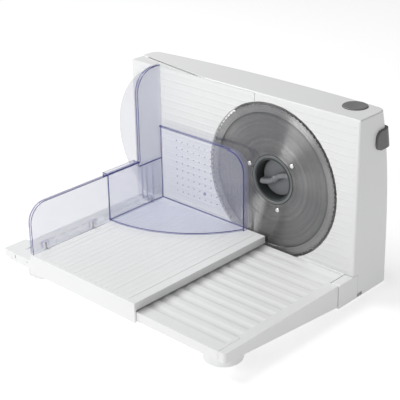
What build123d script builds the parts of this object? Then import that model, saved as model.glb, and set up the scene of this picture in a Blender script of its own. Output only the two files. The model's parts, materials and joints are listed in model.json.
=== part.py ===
"""Folding electric food slicer, modelled piece by piece at its real size in millimetres.

X runs to the right along the stop face, Y to the back and Z up. X 0 is the blade axis,
Y 0 the stop face and Z 0 the table. The blade stands on the machine's right half, the
carriage lies in front of it on a wedge base, and the base folds up on two side cheeks.
"""

import os
from math import cos, pi, radians, sin

from build123d import *

os.makedirs("parts", exist_ok=True)

# Driving sizes of the machine
blade_radius = 85.0
axis_height = 106.2
case_width = 320.0
case_right = 111.5
case_left = case_right - case_width
case_top = 201.0
case_foot = 1.5
wall = 2.8
run_gap = 0.05
fit_gap = 0.3
cut_over = 2.0

# Depth of the casing's right side at four heights
depth_foot = 65.0
depth_waist = 63.5
depth_shoulder = 56.5
depth_top = 44.5
waist_height = 60.0
shoulder_drop = 55.0
shoulder_height = case_top - shoulder_drop
left_step = 7.0
back_crown = 4.5
back_corner = 11.0
top_round = 1.6

# Base, carriage and fence
base_top = 28.6
base_reach = 197.8
base_gap = 2.5
base_skin = 2.6
front_lip = 10.3
carriage_top = 39.0
carriage_right = -5.7
carriage_over = 2.5
carriage_front = base_reach + carriage_over
carriage_back = 1.8
fence_x = -161.0
fence_wall = 2.2

# Travel of the moving pieces
gauge_travel = 12.0
button_travel = 2.5
safety_travel = 2.0


def block(low, high, mode=Mode.ADD):
    """A straight block between two opposite corners."""
    size = [b - a for a, b in zip(low, high)]
    middle = [(a + b) / 2 for a, b in zip(low, high)]
    with Locations(tuple(middle)):
        Box(*size, mode=mode)


def rod(start, end, radius, mode=Mode.ADD):
    """A round bar between two points that lie along one axis."""
    run = Vector(*end) - Vector(*start)
    with Locations(Plane(origin=start, z_dir=run)):
        Cylinder(radius, run.length, align=(Align.CENTER, Align.CENTER, Align.MIN), mode=mode)


def casing_form(inset, front, foot):
    """The casing's outer form, drawn in by an inset, as a solid."""
    stations = (
        (foot, depth_foot),
        (waist_height, depth_waist),
        (shoulder_height, depth_shoulder),
        (case_top - inset, depth_top),
    )
    left = case_left + inset
    right = case_right - inset
    middle = (left + right) / 2
    with BuildPart() as form:
        for height, depth in stations:
            with BuildSketch(Plane.XY.offset(height)):
                with BuildLine():
                    Line((right, front), (right, depth - inset))
                    ThreePointArc(
                        (right, depth - inset),
                        (middle, depth + back_crown - inset),
                        (left, depth - left_step - inset),
                    )
                    Line((left, depth - left_step - inset), (left, front))
                    Line((left, front), (right, front))
                outline = make_face()
                rear_corners = outline.vertices().sort_by(Axis.Y)[-2:]
                fillet(rear_corners, radius=back_corner - inset)
        loft()
    return form.part


# Housing: an arch of motor room, bridge and left pillar, moulded in one piece
room_left = -41.0
pillar_right = -165.0
pillar_front = 18.6
bridge_depth = 36.0
bridge_foot = case_top - bridge_depth
lip = 1.3
panel = 2.5
seam = 0.6
seam_x = -23.3
slant_x = -89.5
slant_gap = 0.9
flange = 2.2
rebate = 2.7
rebate_reach = pillar_front + gauge_travel + fit_gap
chassis_lap = 8.9
cheek_width = 10.3
vent_width = 3.0
vent_length = 26.0
vent_pitch = 8.0
vent_count = 9
vent_x = 40.0
vent_z = 40.0
gland_x = 92.0
gland_z = 22.0
gland_radius = 5.5
button_x = 82.5
button_y = 31.2
button_radius = 13.0
button_gap = 0.4
button_well = 11.0
pad_front = 27.8
pad_back = 57.5
pad_drop = 19.8
pad_height = 20.8
pad_high = case_top - pad_drop
pad_low = pad_high - pad_height
pad_proud = 3.0
pad_depth = 8.0
pad_corner = 8.0
dial_x = -187.0
dial_z = 112.0
dial_shaft_radius = 5.0
nut_radius = 8.0
rod_radius = 3.0
bush_wall = 1.8
rod_x = -187.0
rod_low = 52.0
rod_drop = 29.0
rod_high = case_top - rod_drop
spindle_radius = 5.0

front_clear = seam_x - seam
well_depth = pillar_front
lip_foot = case_top - lip
notch_deep = 4.0
notch_low = 2.2
notch_high = 6.2
notch_back = 17.5
wheel_plane = 40.5
blade_axis = Axis((0, 0, axis_height), (0, 1, 0))

# Blade well and the round bite of the stop plate
blade_gap = 2.0
well_radius = blade_radius + blade_gap
well_wall = 2.0
well_floor = 9.0
well_back = 11.0
hub_hole = 26.0
bite_depth = 5.0
dial_boss = 19.0
dial_seat = 58.6
boss_foot = 50.0
screw_boss = 4.0
screw_boss_top = 20.0
screw_core = 1.5
screw_spots = ((105.0, 30.0), (105.0, 52.0), (-34.5, 50.0), (-171.5, 45.0), (-199.5, 42.0))
floor_skin = 2.8

with BuildPart() as pad_prism:
    with BuildSketch(Plane.YZ.offset(case_right - pad_depth)):
        with Locations(((pad_front + pad_back) / 2, (pad_low + pad_high) / 2)):
            RectangleRounded(pad_back - pad_front, pad_high - pad_low, pad_corner)
    extrude(amount=pad_depth + pad_proud)
pad_cut_low = case_right - pad_depth - safety_travel - fit_gap

outer_form = casing_form(0, 0, case_foot)
inner_form = casing_form(wall, -cut_over, case_foot - cut_over)

with BuildPart() as motor_room:
    add(inner_form)
    block((front_clear + fit_gap + wall, -2 * cut_over, 0),
          (case_right, 2 * depth_foot, case_top), Mode.INTERSECT)
with BuildPart() as side_room:
    add(inner_form)
    block((room_left + wall, well_depth + panel + fit_gap + wall, 0),
          (0, 2 * depth_foot, case_top), Mode.INTERSECT)
with BuildPart() as pillar_room:
    add(inner_form)
    block((case_left + rebate + wall, pillar_front + wall, 0),
          (pillar_right - wall, 2 * depth_foot, case_top), Mode.INTERSECT)
with BuildPart() as bridge_room:
    add(inner_form)
    block((pillar_right - wall - cut_over, pillar_front + wall, bridge_foot + wall),
          (room_left + wall + cut_over, 2 * depth_foot, lip_foot - flange - 2 * fit_gap - wall),
          Mode.INTERSECT)

with BuildPart() as housing_shell:
    add(outer_form)
    fillet(housing_shell.edges().group_by(Axis.Z)[-1], radius=top_round)
    # The slice bay is open to the back and to the table
    block((pillar_right, -cut_over, 0), (room_left, 2 * depth_foot, bridge_foot), Mode.SUBTRACT)
    # The stop plate's room in front of pillar and bridge, below the top lip
    block((case_left - cut_over, -cut_over, 0), (room_left, pillar_front, lip_foot), Mode.SUBTRACT)
    block((room_left - cut_over, -cut_over, 0),
          (front_clear + fit_gap, well_depth + panel + fit_gap, lip_foot), Mode.SUBTRACT)
    # The front panel's seat
    block((front_clear, -cut_over, 0), (case_right + cut_over, panel, lip_foot), Mode.SUBTRACT)
    add(motor_room.part, mode=Mode.SUBTRACT)
    add(side_room.part, mode=Mode.SUBTRACT)
    add(pillar_room.part, mode=Mode.SUBTRACT)
    add(bridge_room.part, mode=Mode.SUBTRACT)
    # Room for the plate's top flange under the lip, and the slanted front edge of the top
    with BuildSketch(Plane.XY.offset(lip_foot)):
        with BuildLine():
            Polyline(
                (case_left - cut_over, -cut_over),
                (front_clear + fit_gap, -cut_over),
                (front_clear + fit_gap, gauge_travel + panel + flange + fit_gap),
                (slant_x, gauge_travel + panel + flange + fit_gap),
                (case_left - cut_over, rebate_reach),
                close=True,
            )
        make_face()
    extrude(amount=-(flange + 2 * fit_gap), mode=Mode.SUBTRACT)
    with BuildSketch(Plane.XY.offset(case_top)):
        with BuildLine():
            Polyline(
                (case_left - cut_over, pillar_front),
                (case_left, pillar_front),
                (slant_x, 0),
                (slant_x, -cut_over),
                (case_left - cut_over, -cut_over),
                close=True,
            )
        make_face()
    extrude(amount=-(lip + flange + 2 * fit_gap), mode=Mode.SUBTRACT)
    # The side rebate that the plate's left flange slides along
    block((case_left - cut_over, pillar_front - cut_over, 0), (case_left + rebate, rebate_reach, lip_foot),
          Mode.SUBTRACT)
    # The chassis' seat at the foot, with the side notch behind it
    block((case_left - cut_over, -cut_over, 0), (case_right + cut_over, chassis_lap, base_top + fit_gap),
          Mode.SUBTRACT)
    block((case_left + wall, chassis_lap - cut_over, 0),
          (pillar_right - wall, pillar_front + 2 * wall, case_foot + floor_skin + fit_gap), Mode.SUBTRACT)
    block((room_left + wall, chassis_lap - cut_over, 0),
          (0, well_depth + panel + 2 * wall, case_foot + floor_skin + fit_gap), Mode.SUBTRACT)
    block((case_right - notch_deep, chassis_lap - cut_over, notch_low),
          (case_right + cut_over, notch_back, notch_high), Mode.SUBTRACT)
    # The blade well's place behind the front
    rod((0, -cut_over, axis_height), (0, well_back + fit_gap, axis_height), well_radius + well_wall + fit_gap,
        Mode.SUBTRACT)
    rod((0, 0, axis_height), (0, well_depth + panel + fit_gap, axis_height), hub_hole, Mode.SUBTRACT)
    # Bosses for the floor's screws and for the dial
    for x, y in screw_spots:
        rod((x, y, case_foot + floor_skin), (x, y, screw_boss_top), screw_boss)
        rod((x, y, 0), (x, y, screw_boss_top - wall), screw_core, Mode.SUBTRACT)
    rod((dial_x, boss_foot, dial_z), (dial_x, dial_seat, dial_z), dial_boss)
    # Switch hole, side pad's notch, cooling slots, cord inlet and dial bore
    with Locations((button_x, button_y, case_top)):
        Cylinder(button_radius + button_gap, button_well, mode=Mode.SUBTRACT)
    with BuildSketch(Plane.YZ.offset(pad_cut_low)):
        with Locations(((pad_front + pad_back) / 2, (pad_low + pad_high) / 2)):
            RectangleRounded(pad_back - pad_front + 2 * fit_gap, pad_high - pad_low + 2 * fit_gap,
                             pad_corner + fit_gap)
    extrude(amount=case_right - pad_cut_low + cut_over, mode=Mode.SUBTRACT)
    with BuildSketch(Plane.XZ.offset(-depth_foot / 2)):
        with Locations((vent_x, vent_z)):
            with GridLocations(vent_pitch, 0, vent_count, 1):
                SlotOverall(vent_length, vent_width, rotation=90)
        with Locations((gland_x, gland_z)):
            Circle(gland_radius)
    extrude(amount=-depth_foot, mode=Mode.SUBTRACT)
    with BuildSketch(Plane.XZ):
        with Locations((dial_x, dial_z)):
            Circle(nut_radius + fit_gap)
        with Locations((rod_x, rod_low), (rod_x, rod_high)):
            Circle(rod_radius + bush_wall)
    extrude(amount=-(pillar_front + wall + fit_gap), mode=Mode.SUBTRACT)
    with BuildSketch(Plane.XZ.offset(-pillar_front - wall - cut_over)):
        with Locations((dial_x, dial_z)):
            Circle(dial_shaft_radius + run_gap)
    extrude(amount=-depth_foot, mode=Mode.SUBTRACT)
housing_shell.part.label = "housing_shell"
export_step(housing_shell.part, "parts/housing_shell.step")

# Front panel: a thin ribbed plate with the blade's round well
floor_left = -38.0
floor_step = 0.6
floor_edge = well_radius - floor_step
panel_foot = 29.2
panel_round = 2.2
rib_pitch = 8.0
rib_width = 2.6
rib_crest = 1.0
rib_height = 0.35
rib_margin = 5.0


def front_ribs(left, right, foot, top):
    """Fine level ribs on a front face."""
    count = int((top - foot) / rib_pitch)
    with BuildPart() as ribs:
        for row in range(count):
            height = foot + rib_pitch / 2 + row * rib_pitch
            with BuildSketch(Plane.YZ.offset(left)):
                with BuildLine():
                    Polyline((0, height - rib_width / 2), (-rib_height, height - rib_crest / 2),
                             (-rib_height, height + rib_crest / 2), (0, height + rib_width / 2), close=True)
                make_face()
            extrude(amount=right - left)
    return ribs.part


with BuildPart() as panel_plate:
    block((seam_x, 0, panel_foot), (case_right, panel, lip_foot))
    fillet(panel_plate.edges().filter_by(Axis.Z).group_by(Axis.X)[-1].sort_by(Axis.Y)[0], radius=panel_round)
    add(front_ribs(seam_x + rib_margin, case_right - rib_margin, panel_foot, lip_foot))
    rod((0, -cut_over, axis_height), (0, well_back, axis_height), well_radius, Mode.SUBTRACT)
with BuildPart() as well:
    rod((0, 0, axis_height), (0, well_back, axis_height), well_radius + well_wall)
    rod((0, 0, axis_height), (0, well_floor, axis_height), well_radius, Mode.SUBTRACT)
    block((seam_x, 0, 0), (case_right, well_back, case_top), Mode.INTERSECT)
with BuildPart() as well_side:
    rod((0, well_floor, axis_height), (0, well_back, axis_height), floor_edge)
    block((floor_left, 0, 0), (0, well_back, case_top), Mode.INTERSECT)
with BuildPart() as front_panel:
    add(panel_plate.part)
    add(well.part)
    add(well_side.part)
    rod((0, 0, axis_height), (0, well_back + cut_over, axis_height), hub_hole, Mode.SUBTRACT)
front_panel.part.label = "front_panel"
export_step(front_panel.part, "parts/front_panel.step")

# Stop plate: it slides back to set the slice's thickness
plate_foot = 31.0
carrier_back = 6.0
carrier_left = -202.0
carrier_right = -172.0
carrier_margin = 10.0
carrier_low = rod_low - carrier_margin
carrier_high = rod_high + carrier_margin
carrier_window = 9.0
nut_back = 24.0
nut_foot = 6.0
shaft_front = 15.5
shaft_back = 66.0
collar_front = 46.8
collar_back = 49.0
collar_radius = 7.5
rod_back = 28.5
bush_front = 18.6
bush_back = 25.0
dial_radius = 18.0
dial_front = 58.9
dial_back = 71.0
dial_grips = 16
grip_radius = 1.8
dial_round = 1.5
dial_dish = 12.5
dial_dish_depth = 2.0
dial_bar = 7.0

slope = pillar_front / (slant_x - case_left)
with BuildPart() as gauge_plate:
    block((case_left, 0, plate_foot), (front_clear, panel, lip_foot - fit_gap))
    add(front_ribs(case_left + rib_margin, front_clear - rib_margin, plate_foot, lip_foot - fit_gap))
    with BuildSketch(Plane.XY.offset(lip_foot - fit_gap)):
        with BuildLine():
            Polyline((case_left, 0), (case_left, pillar_front - slant_gap),
                     (slant_x - slant_gap / slope, 0), close=True)
        make_face()
    extrude(amount=-flange)
    block((case_left, 0, plate_foot), (case_left + flange, pillar_front - fit_gap, lip_foot - fit_gap))
    rod((0, 0, axis_height), (0, bite_depth, axis_height), well_radius + flange)
    rod((0, -cut_over, axis_height), (0, bite_depth + cut_over, axis_height), well_radius, Mode.SUBTRACT)
    block((front_clear, -cut_over, 0), (case_right, 2 * bite_depth, case_top), Mode.SUBTRACT)
    block((case_left, -cut_over, 0), (case_right, 2 * bite_depth, plate_foot), Mode.SUBTRACT)
gauge_plate.part.label = "gauge_plate"
export_step(gauge_plate.part, "parts/gauge_plate.step")

with BuildPart() as gauge_carrier:
    block((carrier_left, panel, carrier_low), (carrier_right, carrier_back, carrier_high))
    fillet(gauge_carrier.edges().filter_by(Axis.Y), radius=bush_wall)
    rod((dial_x, 0, dial_z), (dial_x, nut_back, dial_z), dial_shaft_radius + fit_gap, Mode.SUBTRACT)
    for height in (rod_low, rod_high):
        rod((rod_x, 0, height), (rod_x, nut_back, height), rod_radius, Mode.SUBTRACT)
    for height in ((rod_low + dial_z) / 2, (rod_high + dial_z) / 2):
        block((carrier_left + carrier_window, 0, height - carrier_window),
              (carrier_right - carrier_window, nut_back, height + carrier_window), Mode.SUBTRACT)
gauge_carrier.part.label = "gauge_carrier"
export_step(gauge_carrier.part, "parts/gauge_carrier.step")

with BuildPart() as gauge_nut:
    rod((dial_x, nut_foot, dial_z), (dial_x, nut_back, dial_z), nut_radius)
    rod((dial_x, 0, dial_z), (dial_x, 2 * nut_back, dial_z), dial_shaft_radius + run_gap, Mode.SUBTRACT)
gauge_nut.part.label = "gauge_nut"
export_step(gauge_nut.part, "parts/gauge_nut.step")

with BuildPart() as gauge_rods:
    for height in (rod_low, rod_high):
        rod((rod_x, panel, height), (rod_x, rod_back, height), rod_radius)
gauge_rods.part.label = "gauge_rods"
export_step(gauge_rods.part, "parts/gauge_rods.step")

with BuildPart() as rod_bushes:
    for height in (rod_low, rod_high):
        rod((rod_x, bush_front, height), (rod_x, bush_back, height), rod_radius + bush_wall)
        rod((rod_x, 0, height), (rod_x, 2 * bush_back, height), rod_radius + run_gap, Mode.SUBTRACT)
rod_bushes.part.label = "rod_bushes"
export_step(rod_bushes.part, "parts/rod_bushes.step")

with BuildPart() as dial_shaft:
    rod((dial_x, shaft_front, dial_z), (dial_x, shaft_back, dial_z), dial_shaft_radius)
    rod((dial_x, collar_front, dial_z), (dial_x, collar_back, dial_z), collar_radius)
dial_shaft.part.label = "dial_shaft"
export_step(dial_shaft.part, "parts/dial_shaft.step")

with BuildPart() as thickness_dial:
    rod((dial_x, dial_front, dial_z), (dial_x, dial_back, dial_z), dial_radius)
    fillet(thickness_dial.edges().group_by(Axis.Y)[-1], radius=dial_round)
    with BuildSketch(Plane.XZ.offset(-dial_back)):
        with Locations((dial_x, dial_z)):
            Circle(dial_dish)
            Rectangle(dial_bar, 2 * dial_dish, mode=Mode.SUBTRACT)
    extrude(amount=dial_dish_depth, mode=Mode.SUBTRACT)
    with BuildSketch(Plane.XZ.offset(-dial_front)):
        with Locations((dial_x, dial_z)):
            with PolarLocations(dial_radius + grip_radius / 2, dial_grips):
                Circle(grip_radius)
    extrude(amount=-(dial_back - dial_front), mode=Mode.SUBTRACT)
    rod((dial_x, 0, dial_z), (dial_x, shaft_back, dial_z), dial_shaft_radius, Mode.SUBTRACT)
thickness_dial.part.label = "thickness_dial"
export_step(thickness_dial.part, "parts/thickness_dial.step")

# Blade: a dished serrated disc, riveted to its hub
rim_y = -0.3
rim_back = 0.0
bevel_width = 9.5
bevel_radius = blade_radius - bevel_width
bevel_step = 0.4
dish_radius = 50.0
dish_y = 2.7
disc_back = 4.1
bore_radius = 24.5
tooth_count = 96
tooth_hollow = 2.2
tooth_offset = 1.2
tooth_centre = blade_radius + tooth_offset
rivet_count = 3
rivet_circle = 34.2
rivet_first = -78.0
rivet_shank = 1.6
rivet_head = 2.5
rivet_dome = 0.7
rivet_front = 1.9
rivet_back = 7.0
ring_radius = 27.5
ring_front = 2.1
ring_bevel = 1.2
cup_radius = 24.3
cup_wall = 1.8
cup_front = 2.6
cup_floor = 15.0
cup_back = 17.0
hub_plate_radius = 40.0
hub_plate_back = 6.1
tip_radius = 3.0
tip_front = 12.0
spindle_flange = 8.0
spindle_flange_back = 19.5
spindle_back = 55.5
grip_disc = 20.0
grip_disc_front = 13.0
grip_front = 3.6
grip_half = 17.6
grip_rise = 6.5
grip_mid_x = 8.4
grip_mid_z = 4.9
grip_neck = 2.9
grip_end = 3.5
grip_core = 4.0
grip_turn = 2.0

with BuildPart() as blade:
    with BuildSketch(Plane.XY.offset(axis_height)):
        with BuildLine():
            Polyline((blade_radius, rim_y), (bevel_radius, 0), (bevel_radius - bevel_step, bevel_step),
                     (dish_radius, dish_y), (bore_radius, dish_y), (bore_radius, disc_back),
                     (dish_radius, disc_back), (bevel_radius, bevel_step + disc_back - dish_y),
                     (blade_radius, rim_back), close=True)
        make_face()
    revolve(axis=blade_axis)
    with BuildSketch(Plane.XZ.offset(cut_over)):
        with Locations((0, axis_height)):
            with PolarLocations(tooth_centre, tooth_count):
                Circle(tooth_hollow)
            with PolarLocations(rivet_circle, rivet_count, start_angle=rivet_first):
                Circle(rivet_shank)
    extrude(amount=-(disc_back + 2 * cut_over), mode=Mode.SUBTRACT)
blade.part.label = "blade"
export_step(blade.part, "parts/blade.step")

with BuildPart() as hub_ring:
    with BuildSketch(Plane.XY.offset(axis_height)):
        with BuildLine():
            Polyline((ring_radius, dish_y), (ring_radius - fit_gap, ring_front),
                     (bore_radius + ring_bevel, ring_front), (bore_radius, dish_y), close=True)
        make_face()
    revolve(axis=blade_axis)
hub_ring.part.label = "hub_ring"
export_step(hub_ring.part, "parts/hub_ring.step")

with BuildPart() as blade_hub:
    rod((0, cup_front, axis_height), (0, cup_back, axis_height), cup_radius)
    rod((0, disc_back, axis_height), (0, hub_plate_back, axis_height), hub_plate_radius)
    rod((0, 0, axis_height), (0, cup_floor, axis_height), cup_radius - cup_wall, Mode.SUBTRACT)
    rod((0, 0, axis_height), (0, cup_back, axis_height), tip_radius, Mode.SUBTRACT)
    with BuildSketch(Plane.XZ):
        with Locations((0, axis_height)):
            with PolarLocations(rivet_circle, rivet_count, start_angle=rivet_first):
                Circle(rivet_shank)
    extrude(amount=-cup_back, mode=Mode.SUBTRACT)
blade_hub.part.label = "blade_hub"
export_step(blade_hub.part, "parts/blade_hub.step")

with BuildPart() as blade_rivets:
    with BuildSketch(Plane.XZ.offset(-rivet_front)):
        with Locations((0, axis_height)):
            with PolarLocations(rivet_circle, rivet_count, start_angle=rivet_first):
                Circle(rivet_head)
    extrude(amount=-(dish_y - rivet_front))
    fillet(blade_rivets.edges().group_by(Axis.Y)[0], radius=rivet_dome)
    with BuildSketch(Plane.XZ.offset(-rivet_front - fit_gap)):
        with Locations((0, axis_height)):
            with PolarLocations(rivet_circle, rivet_count, start_angle=rivet_first):
                Circle(rivet_shank)
    extrude(amount=-(rivet_back - rivet_front - fit_gap))
    with BuildSketch(Plane.XZ.offset(-hub_plate_back)):
        with Locations((0, axis_height)):
            with PolarLocations(rivet_circle, rivet_count, start_angle=rivet_first):
                Circle(rivet_head)
    extrude(amount=-(rivet_back - hub_plate_back))
blade_rivets.part.label = "blade_rivets"
export_step(blade_rivets.part, "parts/blade_rivets.step")

grip_along = (cos(radians(grip_turn)), 0, sin(radians(grip_turn)))
grip_foot = grip_disc_front + fit_gap
grip_crest = grip_front + grip_core
grip_plane = Plane((0, grip_crest, axis_height), x_dir=grip_along, z_dir=(0, -1, 0))
with BuildPart() as lock_grip:
    rod((0, grip_disc_front, axis_height), (0, cup_floor - run_gap, axis_height), grip_disc)
    # The S-shaped finger bar: a round crest on straight sides, with a round-topped stud at each end
    # and one in the middle, all a little wider than the bar
    with BuildLine(grip_plane) as crest:
        ThreePointArc((-grip_half, -grip_rise), (-grip_mid_x, -grip_mid_z), (0, 0))
        ThreePointArc((0, 0), (grip_mid_x, grip_mid_z), (grip_half, grip_rise))
    with BuildSketch(Plane(origin=crest.line @ 0, x_dir=(0, -1, 0), z_dir=crest.line % 0)):
        Circle(grip_neck)
        with Locations(((grip_crest - grip_foot) / 2, 0)):
            Rectangle(grip_foot - grip_crest, 2 * grip_neck)
    sweep(path=crest.line)
    middle = Vector(0, grip_crest, axis_height)
    for stud, radius in ((crest.line @ 0, grip_end), (middle, grip_core), (crest.line @ 1, grip_end)):
        with BuildSketch(Plane(origin=stud, x_dir=(1, 0, 0), z_dir=(0, 0, 1))):
            with BuildLine():
                Polyline((0, -radius), (0, grip_foot - grip_crest), (radius, grip_foot - grip_crest),
                         (radius, 0))
                CenterArc((0, 0), radius, -90, 90)
            make_face()
        revolve(axis=Axis(tuple(stud), (0, 1, 0)))
    rod((0, tip_front - fit_gap, axis_height), (0, cup_back, axis_height), tip_radius + run_gap,
        Mode.SUBTRACT)
lock_grip.part.label = "lock_grip"
export_step(lock_grip.part, "parts/lock_grip.step")

with BuildPart() as blade_spindle:
    rod((0, tip_front, axis_height), (0, cup_back, axis_height), tip_radius)
    rod((0, cup_back, axis_height), (0, spindle_flange_back, axis_height), spindle_flange)
    rod((0, cup_back, axis_height), (0, spindle_back, axis_height), spindle_radius)
blade_spindle.part.label = "blade_spindle"
export_step(blade_spindle.part, "parts/blade_spindle.step")

# Worm drive: forty wheel teeth on one right-hand thread
gear_module = 1.6
wheel_teeth = 40
wheel_pitch = gear_module * wheel_teeth / 2
wheel_face = 6.0
wheel_root = wheel_pitch - gear_module
wheel_addendum = 1.1
wheel_tip = wheel_pitch + wheel_addendum
wheel_root_half = 1.25
wheel_tip_half = 0.45
wheel_boss = 9.0
boss_front = 30.8
boss_back = 48.7
worm_pitch_radius = 5.5
worm_pitch = pi * gear_module
worm_turns = 6
worm_root = 4.2
worm_tip = 6.6
thread_root_half = 1.15
thread_tip_half = 0.4
worm_end = 3.0
motor_x = wheel_pitch + worm_pitch_radius
shaft_radius = 2.5

frame_left = -12.0
frame_right = 58.0
frame_front = 25.5
frame_front_back = 29.5
frame_rear_front = 50.0
frame_rear = 53.5
frame_drop = 39.2
frame_rise = 35.8
frame_slab = 4.0
frame_foot = axis_height - frame_drop
frame_floor = frame_foot + frame_slab
frame_ceiling = axis_height + frame_rise
frame_top = frame_ceiling + frame_slab
frame_floor_left = 14.0
frame_wall = 3.0
post_radius = 4.0
post_inset = 5.0
bush_radius = 7.5
bush_over = 1.0
worm_bush_radius = 5.0

with BuildPart() as worm_wheel:
    with BuildSketch(Plane.XZ.offset(-(wheel_plane - wheel_face / 2))):
        with Locations((0, axis_height)):
            Circle(wheel_root + fit_gap)
            with PolarLocations(0, wheel_teeth):
                Polygon((wheel_root, -wheel_root_half), (wheel_tip, -wheel_tip_half),
                        (wheel_tip, wheel_tip_half), (wheel_root, wheel_root_half), align=None)
    extrude(amount=-wheel_face)
    rod((0, boss_front, axis_height), (0, boss_back, axis_height), wheel_boss)
    rod((0, 0, axis_height), (0, spindle_back, axis_height), spindle_radius, Mode.SUBTRACT)
worm_wheel.part.label = "worm_wheel"
export_step(worm_wheel.part, "parts/worm_wheel.step")

with BuildPart() as spindle_bushes:
    rod((0, frame_front - bush_over, axis_height), (0, frame_front_back + bush_over, axis_height),
        bush_radius)
    rod((0, frame_rear_front - bush_over, axis_height), (0, frame_rear + bush_over, axis_height), bush_radius)
    rod((0, 0, axis_height), (0, 2 * frame_rear, axis_height), spindle_radius + run_gap, Mode.SUBTRACT)
spindle_bushes.part.label = "spindle_bushes"
export_step(spindle_bushes.part, "parts/spindle_bushes.step")

with BuildPart() as gear_frame:
    block((frame_left, frame_front, frame_foot), (frame_right, frame_front_back, frame_top))
    block((frame_left, frame_rear_front, frame_foot), (frame_right, frame_rear, frame_top))
    block((frame_floor_left, frame_front, frame_foot), (frame_right, frame_rear, frame_floor))
    block((frame_floor_left, frame_front, frame_ceiling), (frame_right, frame_rear, frame_top))
    block((frame_right - frame_wall, frame_front, frame_foot), (frame_right, frame_rear, frame_top))
    for x in (frame_left + post_inset, frame_right - post_inset):
        for z in (frame_foot + post_inset, frame_top - post_inset):
            rod((x, well_back, z), (x, frame_front, z), post_radius)
    rod((0, 0, axis_height), (0, 2 * frame_rear, axis_height), bush_radius, Mode.SUBTRACT)
    rod((motor_x, wheel_plane, frame_foot), (motor_x, wheel_plane, frame_top), worm_bush_radius,
        Mode.SUBTRACT)
gear_frame.part.label = "gear_frame"
export_step(gear_frame.part, "parts/gear_frame.step")

worm_low = axis_height - worm_turns / 2 * worm_pitch
with BuildPart() as worm:
    rod((motor_x, wheel_plane, worm_low - worm_end),
        (motor_x, wheel_plane, worm_low + worm_turns * worm_pitch + worm_end), worm_root)
    with BuildLine(Plane((motor_x, wheel_plane, worm_low))) as thread_path:
        Helix(worm_pitch, worm_turns * worm_pitch, worm_root)
    with BuildSketch(Plane((motor_x + worm_root, wheel_plane, worm_low), x_dir=(1, 0, 0),
                           z_dir=thread_path.line % 0)):
        Polygon((-fit_gap, -thread_root_half), (worm_tip - worm_root, -thread_tip_half),
                (worm_tip - worm_root, thread_tip_half), (-fit_gap, thread_root_half), align=None)
    sweep(path=thread_path.line, is_frenet=True)
    rod((motor_x, wheel_plane, 0), (motor_x, wheel_plane, case_top), shaft_radius, Mode.SUBTRACT)
worm.part.label = "worm"
export_step(worm.part, "parts/worm.step")

# Motor: it hangs under the gear frame with its shaft upright
can_radius = 20.0
can_wall = 1.5
can_foot = 14.0
bell_depth = 4.5
bell_foot = can_foot - bell_depth
bell_boss_depth = 2.5
bell_boss_foot = bell_foot - bell_boss_depth
bell_boss = 7.0
shaft_seat = 0.5
shaft_foot = bell_boss_foot + shaft_seat
shaft_over = 3.0
shaft_top = frame_top + shaft_over
magnet_inner = 15.8
magnet_rise = 10.0
magnet_drop = 9.0
magnet_low = can_foot + magnet_rise
magnet_high = frame_foot - magnet_drop
magnet_gap = 9.0
rotor_radius = 15.2
rotor_inset = 2.0
rotor_low = magnet_low + rotor_inset
rotor_high = magnet_high - rotor_inset
rotor_slots = 5
slot_width = 3.0
slot_floor = 8.0
coil_radius = 12.0
coil_end = 3.5
drum_radius = 5.5
drum_rise = 1.0
drum_length = 7.0
drum_low = can_foot + drum_rise
drum_high = drum_low + drum_length
drum_bars = 5
bar_gap = 0.6
bar_groove = 0.9
brush_rise = 1.5
brush_half = 2.0
brush_low = drum_low + brush_rise
brush_high = brush_low + 2 * brush_half
bush_below = 1.0
bush_above = 1.5
worm_bush_low = frame_ceiling - bush_below
worm_bush_high = frame_top + bush_above

with BuildPart() as motor_can:
    rod((motor_x, wheel_plane, can_foot), (motor_x, wheel_plane, frame_foot), can_radius)
    rod((motor_x, wheel_plane, 0), (motor_x, wheel_plane, frame_foot - can_wall), can_radius - can_wall,
        Mode.SUBTRACT)
    rod((motor_x, wheel_plane, 0), (motor_x, wheel_plane, frame_top), shaft_radius + run_gap, Mode.SUBTRACT)
motor_can.part.label = "motor_can"
export_step(motor_can.part, "parts/motor_can.step")

with BuildPart() as motor_end_bell:
    rod((motor_x, wheel_plane, bell_foot), (motor_x, wheel_plane, can_foot), can_radius)
    rod((motor_x, wheel_plane, bell_boss_foot), (motor_x, wheel_plane, bell_foot), bell_boss)
    rod((motor_x, wheel_plane, shaft_foot), (motor_x, wheel_plane, frame_top), shaft_radius + run_gap,
        Mode.SUBTRACT)
motor_end_bell.part.label = "motor_end_bell"
export_step(motor_end_bell.part, "parts/motor_end_bell.step")

with BuildPart() as motor_magnets:
    rod((motor_x, wheel_plane, magnet_low), (motor_x, wheel_plane, magnet_high), can_radius - can_wall)
    rod((motor_x, wheel_plane, magnet_low), (motor_x, wheel_plane, magnet_high), magnet_inner, Mode.SUBTRACT)
    block((motor_x - can_radius, wheel_plane - magnet_gap, magnet_low),
          (motor_x + can_radius, wheel_plane + magnet_gap, magnet_high), Mode.SUBTRACT)
motor_magnets.part.label = "motor_magnets"
export_step(motor_magnets.part, "parts/motor_magnets.step")

with BuildPart() as armature:
    rod((motor_x, wheel_plane, rotor_low), (motor_x, wheel_plane, rotor_high), rotor_radius)
    with BuildSketch(Plane((motor_x, wheel_plane, rotor_low))):
        with PolarLocations((rotor_radius + slot_floor) / 2, rotor_slots):
            Rectangle(rotor_radius - slot_floor + fit_gap, slot_width)
    extrude(amount=rotor_high - rotor_low, mode=Mode.SUBTRACT)
    rod((motor_x, wheel_plane, rotor_low - coil_end), (motor_x, wheel_plane, rotor_low), coil_radius)
    rod((motor_x, wheel_plane, rotor_high), (motor_x, wheel_plane, rotor_high + coil_end), coil_radius)
    rod((motor_x, wheel_plane, 0), (motor_x, wheel_plane, frame_top), shaft_radius, Mode.SUBTRACT)
armature.part.label = "armature"
export_step(armature.part, "parts/armature.step")

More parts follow.
